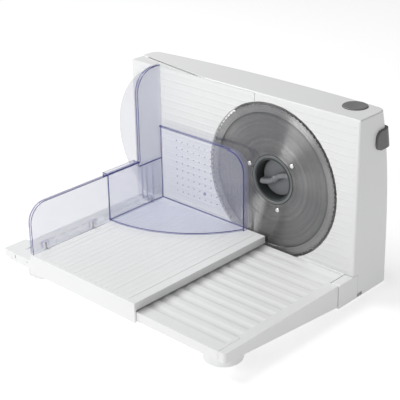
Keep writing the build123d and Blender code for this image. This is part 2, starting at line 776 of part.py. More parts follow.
with BuildPart() as commutator:
    rod((motor_x, wheel_plane, drum_low), (motor_x, wheel_plane, drum_high), drum_radius)
    with BuildSketch(Plane((motor_x, wheel_plane, drum_low))):
        with PolarLocations(drum_radius, drum_bars):
            Rectangle(bar_groove, bar_gap)
    extrude(amount=drum_high - drum_low, mode=Mode.SUBTRACT)
    rod((motor_x, wheel_plane, 0), (motor_x, wheel_plane, frame_top), shaft_radius, Mode.SUBTRACT)
commutator.part.label = "commutator"
export_step(commutator.part, "parts/commutator.step")

with BuildPart() as motor_brushes:
    block((motor_x - can_radius, wheel_plane - brush_half, brush_low),
          (motor_x + can_radius, wheel_plane + brush_half, brush_high))
    rod((motor_x, wheel_plane, 0), (motor_x, wheel_plane, frame_top), drum_radius + run_gap, Mode.SUBTRACT)
    rod((motor_x, wheel_plane, brush_low), (motor_x, wheel_plane, brush_high), can_radius - can_wall,
        Mode.INTERSECT)
motor_brushes.part.label = "motor_brushes"
export_step(motor_brushes.part, "parts/motor_brushes.step")

with BuildPart() as motor_shaft:
    rod((motor_x, wheel_plane, shaft_foot), (motor_x, wheel_plane, shaft_top), shaft_radius)
motor_shaft.part.label = "motor_shaft"
export_step(motor_shaft.part, "parts/motor_shaft.step")

with BuildPart() as worm_bush:
    rod((motor_x, wheel_plane, worm_bush_low), (motor_x, wheel_plane, worm_bush_high), worm_bush_radius)
    rod((motor_x, wheel_plane, 0), (motor_x, wheel_plane, case_top), shaft_radius + run_gap, Mode.SUBTRACT)
worm_bush.part.label = "worm_bush"
export_step(worm_bush.part, "parts/worm_bush.step")

# Switches: a press button on top and a safety pad on the side
button_proud = 1.2
button_height = 8.2
button_top = case_top + button_proud
button_low = button_top - button_height
button_dish = 60.0
button_dish_depth = 0.9
button_edge = 0.8
ear_reach = 16.0
ear_half = 4.0
ear_height = 2.0
ear_low = button_low - ear_height
stem_radius = 3.0
spring_room = 9.5
shelf_high = ear_low - spring_room
shelf_low = shelf_high - wall + fit_gap
stem_over = 2.0
stem_foot = shelf_low - stem_over
bracket_left = 70.0
bracket_wall_left = 92.0
bracket_wall = 2.5
bracket_front = 28.0
bracket_back = 45.0
shelf_front = 25.0
bracket_drop = 30.0
bracket_rise = 6.0
bracket_low = shelf_low - bracket_drop
bracket_high = shelf_low + bracket_rise
spring_wire = 0.6
spring_radius = 4.6
spring_turns = 4
seat_radius = 6.0
safety_turns = 5
spring_run = 14.2
side_stem_left = 97.0
pad_skin = 2.4
switch_left = 76.0
switch_front = 28.0
switch_back = 38.0
switch_drop = 5.0
switch_height = 17.0
switch_high = shelf_low - switch_drop
switch_low = switch_high - switch_height
plunger_radius = 1.6

with BuildPart() as top_button:
    rod((button_x, button_y, button_low), (button_x, button_y, button_top), button_radius)
    fillet(top_button.edges().group_by(Axis.Z)[-1], radius=button_edge)
    with Locations((button_x, button_y, button_top - button_dish_depth + button_dish)):
        Sphere(button_dish, mode=Mode.SUBTRACT)
    block((button_x - ear_reach, button_y - ear_half, ear_low),
          (button_x + ear_reach, button_y + ear_half, button_low))
    rod((button_x, button_y, stem_foot), (button_x, button_y, button_low), stem_radius)
top_button.part.label = "top_button"
export_step(top_button.part, "parts/top_button.step")


def coil(start, direction, radius, wire, turns, length):
    """A compression spring from a start point along a direction."""
    foot = Vector(*start) + Vector(*direction) * wire
    with BuildPart() as spring:
        with BuildLine() as path:
            Helix((length - 2 * wire) / turns, length - 2 * wire, radius, center=foot, direction=direction)
        with BuildSketch(Plane(origin=path.line @ 0, z_dir=path.line % 0)):
            Circle(wire)
        sweep(path=path.line, is_frenet=True)
    return spring.part


with BuildPart() as top_button_spring:
    add(coil((button_x, button_y, shelf_high), (0, 0, 1), spring_radius, spring_wire, spring_turns,
             ear_low - shelf_high))
top_button_spring.part.label = "top_button_spring"
export_step(top_button_spring.part, "parts/top_button_spring.step")

side_y = (bracket_front + bracket_back) / 2
side_z = (pad_low + pad_high) / 2
with BuildPart() as pad_core:
    with BuildSketch(Plane.YZ.offset(case_right - pad_depth)):
        with Locations(((pad_front + pad_back) / 2, side_z)):
            RectangleRounded(pad_back - pad_front - 2 * pad_skin, pad_high - pad_low - 2 * pad_skin,
                             pad_corner - pad_skin)
    extrude(amount=pad_depth + pad_proud)
    add(casing_form(pad_skin - pad_proud, 0, case_foot), mode=Mode.INTERSECT)
with BuildPart() as safety_button:
    add(pad_prism.part)
    add(casing_form(-pad_proud, 0, case_foot), mode=Mode.INTERSECT)
    add(pad_core.part, mode=Mode.SUBTRACT)
    rod((side_stem_left, side_y, side_z), (case_right + pad_proud - pad_skin, side_y, side_z), stem_radius)
safety_button.part.label = "safety_button"
export_step(safety_button.part, "parts/safety_button.step")

with BuildPart() as switch_bracket:
    block((bracket_wall_left, bracket_front, bracket_low),
          (bracket_wall_left + bracket_wall, bracket_back, bracket_high))
    block((bracket_wall_left, bracket_front, bracket_low),
          (case_right - wall, bracket_back, bracket_low + bracket_wall))
    block((bracket_left, shelf_front, shelf_low),
          (bracket_wall_left + bracket_wall, bracket_back, shelf_high))
    rod((button_x, button_y, 0), (button_x, button_y, case_top), stem_radius + fit_gap, Mode.SUBTRACT)
    rod((bracket_wall_left, side_y, side_z), (case_right, side_y, side_z), seat_radius, Mode.SUBTRACT)
switch_bracket.part.label = "switch_bracket"
export_step(switch_bracket.part, "parts/switch_bracket.step")

with BuildPart() as micro_switch:
    block((switch_left, switch_front, switch_low), (bracket_wall_left, switch_back, switch_high))
    rod((button_x, button_y, switch_high),
        (button_x, button_y, stem_foot - button_travel - run_gap), plunger_radius)
micro_switch.part.label = "micro_switch"
export_step(micro_switch.part, "parts/micro_switch.step")

with BuildPart() as safety_spring:
    add(coil((side_stem_left, side_y, side_z), (1, 0, 0), spring_radius, spring_wire, safety_turns,
             spring_run))
safety_spring.part.label = "safety_spring"
export_step(safety_spring.part, "parts/safety_spring.step")

# Cord inlet on the back
gland_front = 55.0
gland_collar_front = 66.8
gland_collar_back = 69.2
gland_collar = 8.0
gland_tail = 76.0
gland_tail_radius = 4.2
gland_bore = 3.1

with BuildPart() as cable_gland:
    rod((gland_x, gland_front, gland_z), (gland_x, gland_collar_back, gland_z), gland_radius)
    rod((gland_x, gland_collar_front, gland_z), (gland_x, gland_collar_back, gland_z), gland_collar)
    with BuildSketch(Plane.XY.offset(gland_z)):
        with BuildLine():
            Polyline((gland_x, gland_collar_back), (gland_x + gland_radius, gland_collar_back),
                     (gland_x + gland_tail_radius, gland_tail), (gland_x, gland_tail), close=True)
        make_face()
    revolve(axis=Axis((gland_x, 0, gland_z), (0, 1, 0)))
    rod((gland_x, 0, gland_z), (gland_x, 2 * gland_tail, gland_z), gland_bore, Mode.SUBTRACT)
cable_gland.part.label = "cable_gland"
export_step(cable_gland.part, "parts/cable_gland.step")

# Chassis: the casing's floor, with the two cheeks that carry the folding base
pivot_y = -21.3
pivot_drop = 2.6
pivot_z = base_top - pivot_drop
pivot_round = pivot_drop
cheek_front = pivot_y - pivot_round
pin_radius = 1.4
pin_inner = 86.0
pin_outer = 108.0
beam_front = 2.2
beam_top = 14.0
web_back = 5.0
lug_half = 12.0
lug_front = -10.0
lug_top = 4.0
pad_rubber = 8.0
head_radius = 3.2
head_depth = 1.8
cross_long = 1.6
cross_half = 0.3
cross_deep = 0.9
pad_spots = ((96.0, 24.0), (96.0, 45.0), (-22.0, 40.0), (-192.0, 30.0), (0.0, 0.0))
bay_gap = wall + fit_gap

with BuildPart() as floor_form:
    add(casing_form(wall + fit_gap, chassis_lap, case_foot))
    block((case_left, beam_front, case_foot),
          (case_right, 2 * depth_foot, case_foot + floor_skin), Mode.INTERSECT)
    block((pillar_right - bay_gap, chassis_lap, 0),
          (room_left + bay_gap, 2 * depth_foot, case_top), Mode.SUBTRACT)
    block((case_left, chassis_lap, 0),
          (case_left + rebate + bay_gap, 2 * depth_foot, case_top), Mode.SUBTRACT)

with BuildPart() as chassis_base:
    add(floor_form.part)
    block((case_left, beam_front, case_foot), (case_right, chassis_lap - fit_gap, beam_top))
    block((case_left + rebate + bay_gap, chassis_lap - fit_gap, case_foot),
          (pillar_right - bay_gap, chassis_lap + fit_gap, case_foot + floor_skin))
    block((room_left + bay_gap, chassis_lap - fit_gap, case_foot),
          (case_right - bay_gap, chassis_lap + fit_gap, case_foot + floor_skin))
    block((case_left, beam_front, beam_top), (pillar_right, web_back, base_top))
    block((-lug_half, lug_front, case_foot), (lug_half, beam_front, lug_top))
    for inner, outer in ((case_right - cheek_width, case_right), (case_left, case_left + cheek_width)):
        with BuildSketch(Plane.YZ.offset(inner)):
            with BuildLine():
                Polyline((chassis_lap - fit_gap, case_foot), (cheek_front, case_foot),
                         (cheek_front, pivot_z))
                RadiusArc((cheek_front, pivot_z), (pivot_y, base_top), pivot_round)
                Polyline((pivot_y, base_top), (chassis_lap - fit_gap, base_top),
                         (chassis_lap - fit_gap, case_foot))
            make_face()
        extrude(amount=outer - inner)
    middle = (case_left + case_right) / 2
    for side in (-1, 1):
        rod((middle + side * (pin_inner - middle), pivot_y, pivot_z),
            (middle + side * (pin_outer - middle), pivot_y, pivot_z), pin_radius, Mode.SUBTRACT)
    for x, y in screw_spots:
        rod((x, y, 0), (x, y, base_top), screw_core, Mode.SUBTRACT)
        rod((x, y, 0), (x, y, case_foot + head_depth), head_radius, Mode.SUBTRACT)
chassis_base.part.label = "chassis_base"
export_step(chassis_base.part, "parts/chassis_base.step")

with BuildPart() as hinge_pins:
    for side in (-1, 1):
        rod((middle + side * (pin_inner - middle), pivot_y, pivot_z),
            (middle + side * (pin_outer - middle), pivot_y, pivot_z), pin_radius)
hinge_pins.part.label = "hinge_pins"
export_step(hinge_pins.part, "parts/hinge_pins.step")

with BuildPart() as housing_screws:
    for x, y in screw_spots:
        rod((x, y, case_foot + fit_gap), (x, y, case_foot + head_depth), head_radius)
        rod((x, y, case_foot + head_depth), (x, y, screw_boss_top - wall), screw_core)
        block((x - cross_long, y - cross_half, 0),
              (x + cross_long, y + cross_half, case_foot + cross_deep), Mode.SUBTRACT)
        block((x - cross_half, y - cross_long, 0),
              (x + cross_half, y + cross_long, case_foot + cross_deep), Mode.SUBTRACT)
housing_screws.part.label = "housing_screws"
export_step(housing_screws.part, "parts/housing_screws.step")

with BuildPart() as housing_pads:
    for x, y in pad_spots:
        rod((x, y, 0), (x, y, case_foot), pad_rubber)
housing_pads.part.label = "housing_pads"
export_step(housing_pads.part, "parts/housing_pads.step")

# Base tray: a hollow wedge that folds up on the pins
tray_play = 0.5
side_play = 0.9
tray_right = case_right - side_play
tray_rear = pivot_y - pivot_round - tray_play
lip_low = base_top - front_lip
ridge_back = 28.9
ridge_y = ridge_back - base_reach
ridge_z = 15.8
rear_low = 3.4
tongue_left = case_left + cheek_width + tray_play
tongue_right = case_right - cheek_width - side_play
tongue_back = -base_gap
tongue_foot = 14.6
knuckle = 16.3
rib_thick = 1.8
groove_pitch = 16.5
groove_first = -13.0
groove_count = 10
groove_radius = 16.0
groove_depth = 1.1
groove_left = -196.0
groove_right = 98.0
groove_middle = (groove_left + groove_right) / 2
recess_depth = 31.3
recess_rear = recess_depth - base_reach
recess_floor = 20.3
tray_front_round = 3.0
foot_back = 28.8
foot_y = foot_back - base_reach
foot_x = 83.0
foot_radius = 20.0
foot_foot = 1.5
foot_top = 17.4
foot_wall = 3.0
foot_rim = 1.4
socket_width = 60.0
pad_disc = 15.0
pad_seat = 0.8
rail_left = -216.0
rail_right = 102.0
rail_front = -base_reach
rail_rear = recess_rear - fit_gap

with BuildPart() as wedge:
    with BuildSketch(Plane.YZ.offset(case_left)):
        with BuildLine():
            Polyline((tray_rear, base_top), (-base_reach, base_top), (-base_reach, lip_low),
                     (ridge_y, ridge_z), (tray_rear, rear_low), close=True)
        make_face()
    extrude(amount=tray_right - case_left)
    fillet(wedge.edges().filter_by(Axis.Z).group_by(Axis.Y)[0], radius=tray_front_round)

with BuildPart() as tray_room:
    block((case_left + base_skin, recess_rear + base_skin, 0),
          (middle - rib_thick / 2, tray_rear - base_skin, base_top - base_skin))
    block((middle + rib_thick / 2, recess_rear + base_skin, 0),
          (tray_right - base_skin, tray_rear - base_skin, base_top - base_skin))

with BuildPart() as base_tray:
    add(wedge.part)
    add(tray_room.part, mode=Mode.SUBTRACT)
    block((tongue_left, tray_rear - base_skin, base_top - base_skin), (tongue_right, tongue_back, base_top))
    block((tongue_left, tongue_back - base_skin, tongue_foot), (tongue_right, tongue_back, base_top))
    for left, right in ((tongue_left, tongue_left + knuckle), (tongue_right - knuckle, tongue_right)):
        block((left, tray_rear, tongue_foot), (right, tongue_back, base_top))
    # Recess for the cross rail, and sockets for the feet
    block((case_left - cut_over, -base_reach - cut_over, recess_floor),
          (rail_right + fit_gap, recess_rear, base_top + cut_over), Mode.SUBTRACT)
    for side in (-1, 1):
        x = middle + side * (foot_x - middle)
        with BuildSketch(Plane.XY.offset(foot_top)):
            with Locations((x, foot_y)):
                Circle(foot_radius + base_skin)
            with Locations((x, recess_rear + foot_radius + fit_gap)):
                Rectangle(socket_width, 2 * foot_radius, mode=Mode.INTERSECT)
        extrude(amount=recess_floor - foot_top)
        rod((x, foot_y, 0), (x, foot_y, foot_top), foot_radius + run_gap, Mode.SUBTRACT)
        rod((middle + side * (pin_inner - middle), pivot_y, pivot_z),
            (middle + side * (pin_outer - middle), pivot_y, pivot_z), pin_radius + run_gap, Mode.SUBTRACT)
    for row in range(groove_count):
        y = groove_first - row * groove_pitch
        if y > recess_rear:
            with Locations((0, y, base_top + groove_radius - groove_depth)):
                with Locations((groove_middle, 0, 0)):
                    Cylinder(groove_radius, groove_right - groove_left, rotation=(0, 90, 0),
                             mode=Mode.SUBTRACT)
base_tray.part.label = "base_tray"
export_step(base_tray.part, "parts/base_tray.step")

with BuildPart() as front_feet:
    for side in (-1, 1):
        x = middle + side * (foot_x - middle)
        rod((x, foot_y, foot_foot), (x, foot_y, foot_top), foot_radius)
    fillet(front_feet.edges().group_by(Axis.Z)[0], radius=foot_rim)
    for side in (-1, 1):
        x = middle + side * (foot_x - middle)
        rod((x, foot_y, foot_foot + foot_wall), (x, foot_y, foot_top), foot_radius - foot_wall, Mode.SUBTRACT)
        rod((x, foot_y, 0), (x, foot_y, foot_foot + pad_seat), pad_disc, Mode.SUBTRACT)
front_feet.part.label = "front_feet"
export_step(front_feet.part, "parts/front_feet.step")

with BuildPart() as foot_pads:
    for side in (-1, 1):
        x = middle + side * (foot_x - middle)
        rod((x, foot_y, 0), (x, foot_y, foot_foot + pad_seat), pad_disc)
foot_pads.part.label = "foot_pads"
export_step(foot_pads.part, "parts/foot_pads.step")

# Cross rail: the carriage runs on it
rail_groove_back = 19.8
rail_groove = rail_groove_back - base_reach
rail_slot_x = -196.0
rail_slot_z = 24.7
rail_slot_width = 1.4
rail_slot_length = 4.6
rail_hole_x = -176.0
rail_hole = 0.8
rail_skin = 2.6
shoe_half = 8.0
shoe_spots = (-150.0, 60.0)

with BuildPart() as guide_rail:
    block((rail_left, rail_front, recess_floor), (rail_right, rail_rear, base_top))
    fillet(guide_rail.edges().filter_by(Axis.Z).group_by(Axis.X)[0], radius=tray_front_round)
    block((rail_left + rail_skin, rail_front + rail_skin, 0),
          (rail_right - rail_skin, rail_rear - rail_skin, base_top - rail_skin), Mode.SUBTRACT)
    with Locations((groove_middle, rail_groove, base_top + groove_radius - groove_depth)):
        Cylinder(groove_radius, groove_right - groove_left, rotation=(0, 90, 0), mode=Mode.SUBTRACT)
    with BuildSketch(Plane.XZ.offset(-rail_front + cut_over)):
        with Locations((rail_slot_x, rail_slot_z)):
            SlotOverall(rail_slot_length, rail_slot_width, rotation=90)
        with Locations((rail_hole_x, rail_slot_z)):
            Circle(rail_hole)
    extrude(amount=-(cut_over + rail_skin + cut_over), mode=Mode.SUBTRACT)
guide_rail.part.label = "guide_rail"
export_step(guide_rail.part, "parts/guide_rail.step")

with BuildPart() as rail_shoes:
    for x in shoe_spots:
        block((x - shoe_half, rail_front + rail_skin, recess_floor),
              (x + shoe_half, rail_rear - rail_skin, base_top - rail_skin))
rail_shoes.part.label = "rail_shoes"
export_step(rail_shoes.part, "parts/rail_shoes.step")

# Carriage: a hollow ribbed plate with a front apron
carriage_foot = 30.6
carriage_skin = 2.5
apron_skin = 2.2
apron_foot = 17.1
carriage_edge = -166.0
carriage_rib_first = -154.0
carriage_rib_count = 18
carriage_rib_height = 0.45
carriage_rib_crest = 1.2
carriage_rib_base = 3.2
carriage_rib_end = 4.0
carriage_round = 1.0
stiffener = 1.6
stiffener_spots = (-125.0, -85.0, -45.0)
glide_bottom = base_top + run_gap
glide_half = 6.0
glide_wide = 10.0
glide_x = (-146.0, -26.0)
glide_front = 11.8
glide_y = (glide_front - base_reach, -24.0)
fence_screw_x = -163.4
fence_screw_front = 17.8
fence_screw_spots = (fence_screw_front - base_reach, -112.0, -20.0)
fence_screw_head = 2.4
fence_screw_core = 1.1
fence_screw_seat = 34.0
fence_screw_top = 46.0
fence_boss_half = 4.5
fence_boss_right = -158.5

with BuildPart() as carriage_plate:
    block((carriage_edge, -carriage_front, carriage_foot), (carriage_right, -carriage_back, carriage_top))
    block((carriage_edge, -carriage_front, apron_foot),
          (carriage_right, -carriage_front + apron_skin, carriage_top))
    fillet(carriage_plate.edges().filter_by(Axis.Z).group_by(Axis.Y)[0], radius=carriage_round)
    block((carriage_edge + carriage_skin, -carriage_front + apron_skin, 0),
          (carriage_right - carriage_skin, -carriage_back - carriage_skin, carriage_top - carriage_skin),
          Mode.SUBTRACT)
    for x in stiffener_spots:
        block((x, -carriage_front + apron_skin, carriage_foot + stiffener),
              (x + stiffener, -carriage_back - carriage_skin, carriage_top - carriage_skin))
    for y in fence_screw_spots:
        block((carriage_edge, y - fence_boss_half, carriage_foot),
              (fence_boss_right, y + fence_boss_half, carriage_top))
        rod((fence_screw_x, y, 0), (fence_screw_x, y, fence_screw_seat), fence_screw_head, Mode.SUBTRACT)
        rod((fence_screw_x, y, 0), (fence_screw_x, y, carriage_top), fence_screw_core, Mode.SUBTRACT)
    for row in range(carriage_rib_count):
        x = carriage_rib_first + row * rib_pitch
        with BuildSketch(Plane.XZ.offset(carriage_back + carriage_rib_end)):
            with BuildLine():
                Polyline((x - carriage_rib_base / 2, carriage_top),
                         (x - carriage_rib_crest / 2, carriage_top + carriage_rib_height),
                         (x + carriage_rib_crest / 2, carriage_top + carriage_rib_height),
                         (x + carriage_rib_base / 2, carriage_top), close=True)
            make_face()
        extrude(amount=carriage_front - carriage_back - 2 * carriage_rib_end)
carriage_plate.part.label = "carriage_plate"
export_step(carriage_plate.part, "parts/carriage_plate.step")

with BuildPart() as carriage_glides:
    for x in glide_x:
        for y in glide_y:
            block((x - glide_wide, y - glide_half, glide_bottom),
                  (x + glide_wide, y + glide_half, carriage_top - carriage_skin))
carriage_glides.part.label = "carriage_glides"
export_step(carriage_glides.part, "parts/carriage_glides.step")

# Side fence: a low wall, a tall wall at the plate and a round guard, moulded in one
fence_inset = 0.7
fence_front = fence_inset - carriage_front
fence_low_top = 95.9
fence_low_round = 22.0
fence_step = -38.5
fence_top = 203.0
fence_round = 27.0
fence_inner_round = 2.0
fence_flange = 5.0
fence_rim = 1.8
guard_x = -144.0
guard_z = 115.0
guard_radius = 87.0
guard_front = 4.0
guard_foot = 40.0


def fence_slab(inset, reach, depth):
    """The fence's outline, drawn in by an inset, reaching past its rear edge, to a depth outwards."""
    with BuildPart() as slab:
        with BuildSketch(Plane.YZ.offset(fence_x)) as outline:
            with BuildLine():
                Polyline(
                    (fence_front + inset, carriage_top + inset),
                    (fence_front + inset, fence_low_top - inset),
                    (fence_step + inset, fence_low_top - inset),
                    (fence_step + inset, fence_top - inset),
                    (-carriage_back + reach, fence_top - inset),
                    (-carriage_back + reach, carriage_top + inset),
                    close=True,
                )
            make_face()
            fillet(outline.vertices().sort_by_distance((fence_front, fence_low_top))[0],
                   radius=fence_low_round - inset)
            fillet(outline.vertices().sort_by_distance((fence_step, fence_low_top))[0],
                   radius=fence_inner_round + inset)
            fillet(outline.vertices().sort_by_distance((fence_step, fence_top))[0],
                   radius=fence_round - inset)
        extrude(amount=-depth)
    return slab.part


with BuildPart() as side_fence:
    add(fence_slab(0, 0, fence_flange))
    add(fence_slab(fence_rim, cut_over, 2 * fence_flange), mode=Mode.SUBTRACT)
    add(fence_slab(0, 0, fence_wall))
    with BuildSketch(Plane.XZ.offset(guard_front)):
        with Locations((guard_x, guard_z)):
            Circle(guard_radius)
        with Locations((fence_x - guard_radius, guard_foot + guard_radius)):
            Rectangle(2 * guard_radius, 2 * guard_radius, mode=Mode.INTERSECT)
    extrude(amount=-(guard_front - carriage_back))
    for y in fence_screw_spots:
        block((carriage_edge, y - fence_boss_half, carriage_top),
              (fence_x, y + fence_boss_half, fence_screw_top + fence_rim))
        rod((fence_screw_x, y, 0), (fence_screw_x, y, fence_screw_top), fence_screw_core, Mode.SUBTRACT)
side_fence.part.label = "side_fence"
export_step(side_fence.part, "parts/side_fence.step")

with BuildPart() as fence_screws:
    for y in fence_screw_spots:
        rod((fence_screw_x, y, carriage_foot + fence_rim), (fence_screw_x, y, fence_screw_seat),
            fence_screw_head)
        rod((fence_screw_x, y, fence_screw_seat), (fence_screw_x, y, fence_screw_top), fence_screw_core)
fence_screws.part.label = "fence_screws"
export_step(fence_screws.part, "parts/fence_screws.step")

# Food pusher: a curved floor, a side wall with a hook over the fence, and a spiked back
pusher_left = fence_x + fit_gap
pusher_wall = 2.0
pusher_right = -27.5
pusher_back = 4.5
pusher_floor = 41.2
pusher_floor_top = 43.4
pusher_front = 90.5
pusher_arc_x = -72.5
pusher_arc_y = -62.5
pusher_arc_end = 8.0
pusher_side_top = 92.6
pusher_top = 132.0
pusher_round = 22.0
pusher_rim = 2.0
pusher_lip = 3.0
pusher_edge = 8.0
pusher_lip_end = -52.0
hook_back = 41.5
hook_gap = 0.3
hook_skin = 2.0
hook_drop = 6.5
spike_pitch = 8.8
spike_columns = 11
spike_rows = 8
spike_base = 1.5
spike_height = 1.3
spike_taper = 28.0
spike_x = -92.0
spike_z = 88.0
gate_x = -91.0
gate_z = 66.0
gate_radius = 2.0


def pusher_slab(inset, depth):
    """The back's outline, drawn in by an inset, to a depth towards the front."""
    with BuildPart() as slab:
        with BuildSketch(Plane.XZ.offset(pusher_back)) as outline:
            with BuildLine():
                Polyline(
                    (pusher_left - inset, pusher_floor - inset),
                    (pusher_right - inset, pusher_floor - inset),
                    (pusher_right - inset, pusher_top - inset),
                    (pusher_left - inset, pusher_top - inset),
                    close=True,
                )
            make_face()
            fillet(outline.vertices().sort_by_distance((pusher_right, pusher_top))[0],
                   radius=pusher_round - inset)
        extrude(amount=depth)
    return slab.part


with BuildPart() as food_pusher:
    add(pusher_slab(0, pusher_edge))
    add(pusher_slab(pusher_rim, 2 * pusher_edge), mode=Mode.SUBTRACT)
    block((pusher_left - cut_over, -pusher_back - 2 * pusher_edge, pusher_top - pusher_round),
          (pusher_lip_end, -pusher_back - pusher_lip, pusher_top + cut_over), Mode.SUBTRACT)
    add(pusher_slab(0, pusher_wall))
    # Floor
    with BuildSketch(Plane.XY.offset(pusher_floor)):
        with BuildLine():
            ThreePointArc((pusher_left, -pusher_front), (pusher_arc_x, pusher_arc_y),
                          (pusher_right, -pusher_arc_end))
            Polyline((pusher_right, -pusher_arc_end), (pusher_right, -pusher_back),
                     (pusher_left, -pusher_back), (pusher_left, -pusher_front))
        make_face()
    extrude(amount=pusher_floor_top - pusher_floor)
    # Side wall and its hook
    hook_top = fence_low_top + hook_gap + hook_skin
    hook_left = carriage_edge - hook_gap - hook_skin
    block((pusher_left, -pusher_front, pusher_floor),
          (pusher_left + pusher_wall, -pusher_back, pusher_side_top))
    block((pusher_left, -pusher_front, pusher_side_top - hook_skin),
          (pusher_left + pusher_wall, -hook_back, hook_top))
    block((hook_left, -pusher_front, hook_top - hook_skin), (pusher_left + pusher_wall, -hook_back, hook_top))
    block((hook_left, -pusher_front, hook_top - hook_drop), (hook_left + hook_skin, -hook_back, hook_top))
    # Small spikes that hold the food, and the moulding mark
    with BuildSketch(Plane.XZ.offset(pusher_back)):
        with Locations((spike_x, spike_z)):
            with GridLocations(spike_pitch, spike_pitch, spike_columns, spike_rows):
                Rectangle(spike_base, spike_base)
    extrude(amount=-spike_height, taper=spike_taper)
    with BuildSketch(Plane.XZ.offset(pusher_back + pusher_wall)):
        with Locations((gate_x, gate_z)):
            Circle(gate_radius)
            Circle(gate_radius - carriage_rib_height, mode=Mode.SUBTRACT)
    extrude(amount=carriage_rib_height)
food_pusher.part.label = "food_pusher"
export_step(food_pusher.part, "parts/food_pusher.step")
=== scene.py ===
"""Folding food slicer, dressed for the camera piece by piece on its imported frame.

X runs right along the stop face, Y to the back and Z up, in metres. Every piece stays where the
frame has it: a moulding is the frame's own surface with its edges rolled, and the turned, ground
and curved pieces are surfaces worked out with numpy.
"""

import json
import math

import bmesh
import bpy
import numpy as np
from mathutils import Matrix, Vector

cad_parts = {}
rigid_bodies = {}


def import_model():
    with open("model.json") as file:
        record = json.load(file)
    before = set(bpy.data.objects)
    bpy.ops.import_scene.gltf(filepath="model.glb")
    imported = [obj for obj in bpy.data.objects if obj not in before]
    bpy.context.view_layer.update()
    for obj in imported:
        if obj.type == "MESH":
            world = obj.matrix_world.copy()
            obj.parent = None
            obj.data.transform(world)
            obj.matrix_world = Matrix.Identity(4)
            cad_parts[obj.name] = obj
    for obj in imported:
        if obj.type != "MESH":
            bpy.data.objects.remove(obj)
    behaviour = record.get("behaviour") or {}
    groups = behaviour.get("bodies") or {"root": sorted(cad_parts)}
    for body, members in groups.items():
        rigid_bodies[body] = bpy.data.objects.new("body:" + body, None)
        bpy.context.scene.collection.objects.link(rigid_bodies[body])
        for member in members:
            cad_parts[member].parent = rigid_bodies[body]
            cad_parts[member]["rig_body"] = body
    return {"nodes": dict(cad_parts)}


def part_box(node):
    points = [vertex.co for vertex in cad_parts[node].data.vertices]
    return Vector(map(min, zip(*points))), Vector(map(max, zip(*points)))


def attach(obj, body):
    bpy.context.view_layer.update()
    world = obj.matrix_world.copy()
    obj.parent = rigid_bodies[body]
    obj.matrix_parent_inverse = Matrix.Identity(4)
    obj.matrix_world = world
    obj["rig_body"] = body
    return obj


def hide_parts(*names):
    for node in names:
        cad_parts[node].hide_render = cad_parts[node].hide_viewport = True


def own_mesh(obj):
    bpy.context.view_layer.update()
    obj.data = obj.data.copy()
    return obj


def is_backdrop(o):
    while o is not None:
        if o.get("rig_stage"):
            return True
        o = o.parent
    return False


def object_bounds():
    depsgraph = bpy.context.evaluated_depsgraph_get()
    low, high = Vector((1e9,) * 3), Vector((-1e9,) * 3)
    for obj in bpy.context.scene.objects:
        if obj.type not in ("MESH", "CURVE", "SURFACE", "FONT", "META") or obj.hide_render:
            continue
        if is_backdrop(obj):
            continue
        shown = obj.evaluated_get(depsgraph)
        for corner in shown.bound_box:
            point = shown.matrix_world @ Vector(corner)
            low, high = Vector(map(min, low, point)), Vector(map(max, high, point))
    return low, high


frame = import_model()
frame_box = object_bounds()

# Housing: one white ABS moulding with motor room, bridge and left pillar, satin from the mould.
# Its corners are rolled over by half a millimetre, as on most mouldings of the machine.
housing_roll = 0.0005
fine_roll = 0.0004
roll_segments = 2
corner_angle = 32.0
merge_gap = 0.000002
flat_enough = math.radians(0.3)
white_tones = (0.83, 0.838, 0.838, 1.0), (0.80, 0.806, 0.80, 1.0)
satin = 0.34


class Wire:
    """One shader socket. Arithmetic on it adds the Math nodes that work it out."""

    def __init__(self, finish, socket):
        self.finish = finish
        self.socket = socket

    def math(self, operation, *others):
        return self.finish.node("ShaderNodeMath", {"operation": operation}, self, *others)

    def back(self, operation, other):
        return self.finish.node("ShaderNodeMath", {"operation": operation}, other, self)

    def __add__(self, other):
        return self.math("ADD", other)

    def __radd__(self, other):
        return self.back("ADD", other)

    def __sub__(self, other):
        return self.math("SUBTRACT", other)

    def __rsub__(self, other):
        return self.back("SUBTRACT", other)

    def __mul__(self, other):
        return self.math("MULTIPLY", other)

    def __rmul__(self, other):
        return self.back("MULTIPLY", other)

    def __truediv__(self, other):
        return self.math("DIVIDE", other)

    def __rtruediv__(self, other):
        return self.back("DIVIDE", other)

    def __pow__(self, other):
        return self.math("POWER", other)

    def __rpow__(self, other):
        return self.back("POWER", other)


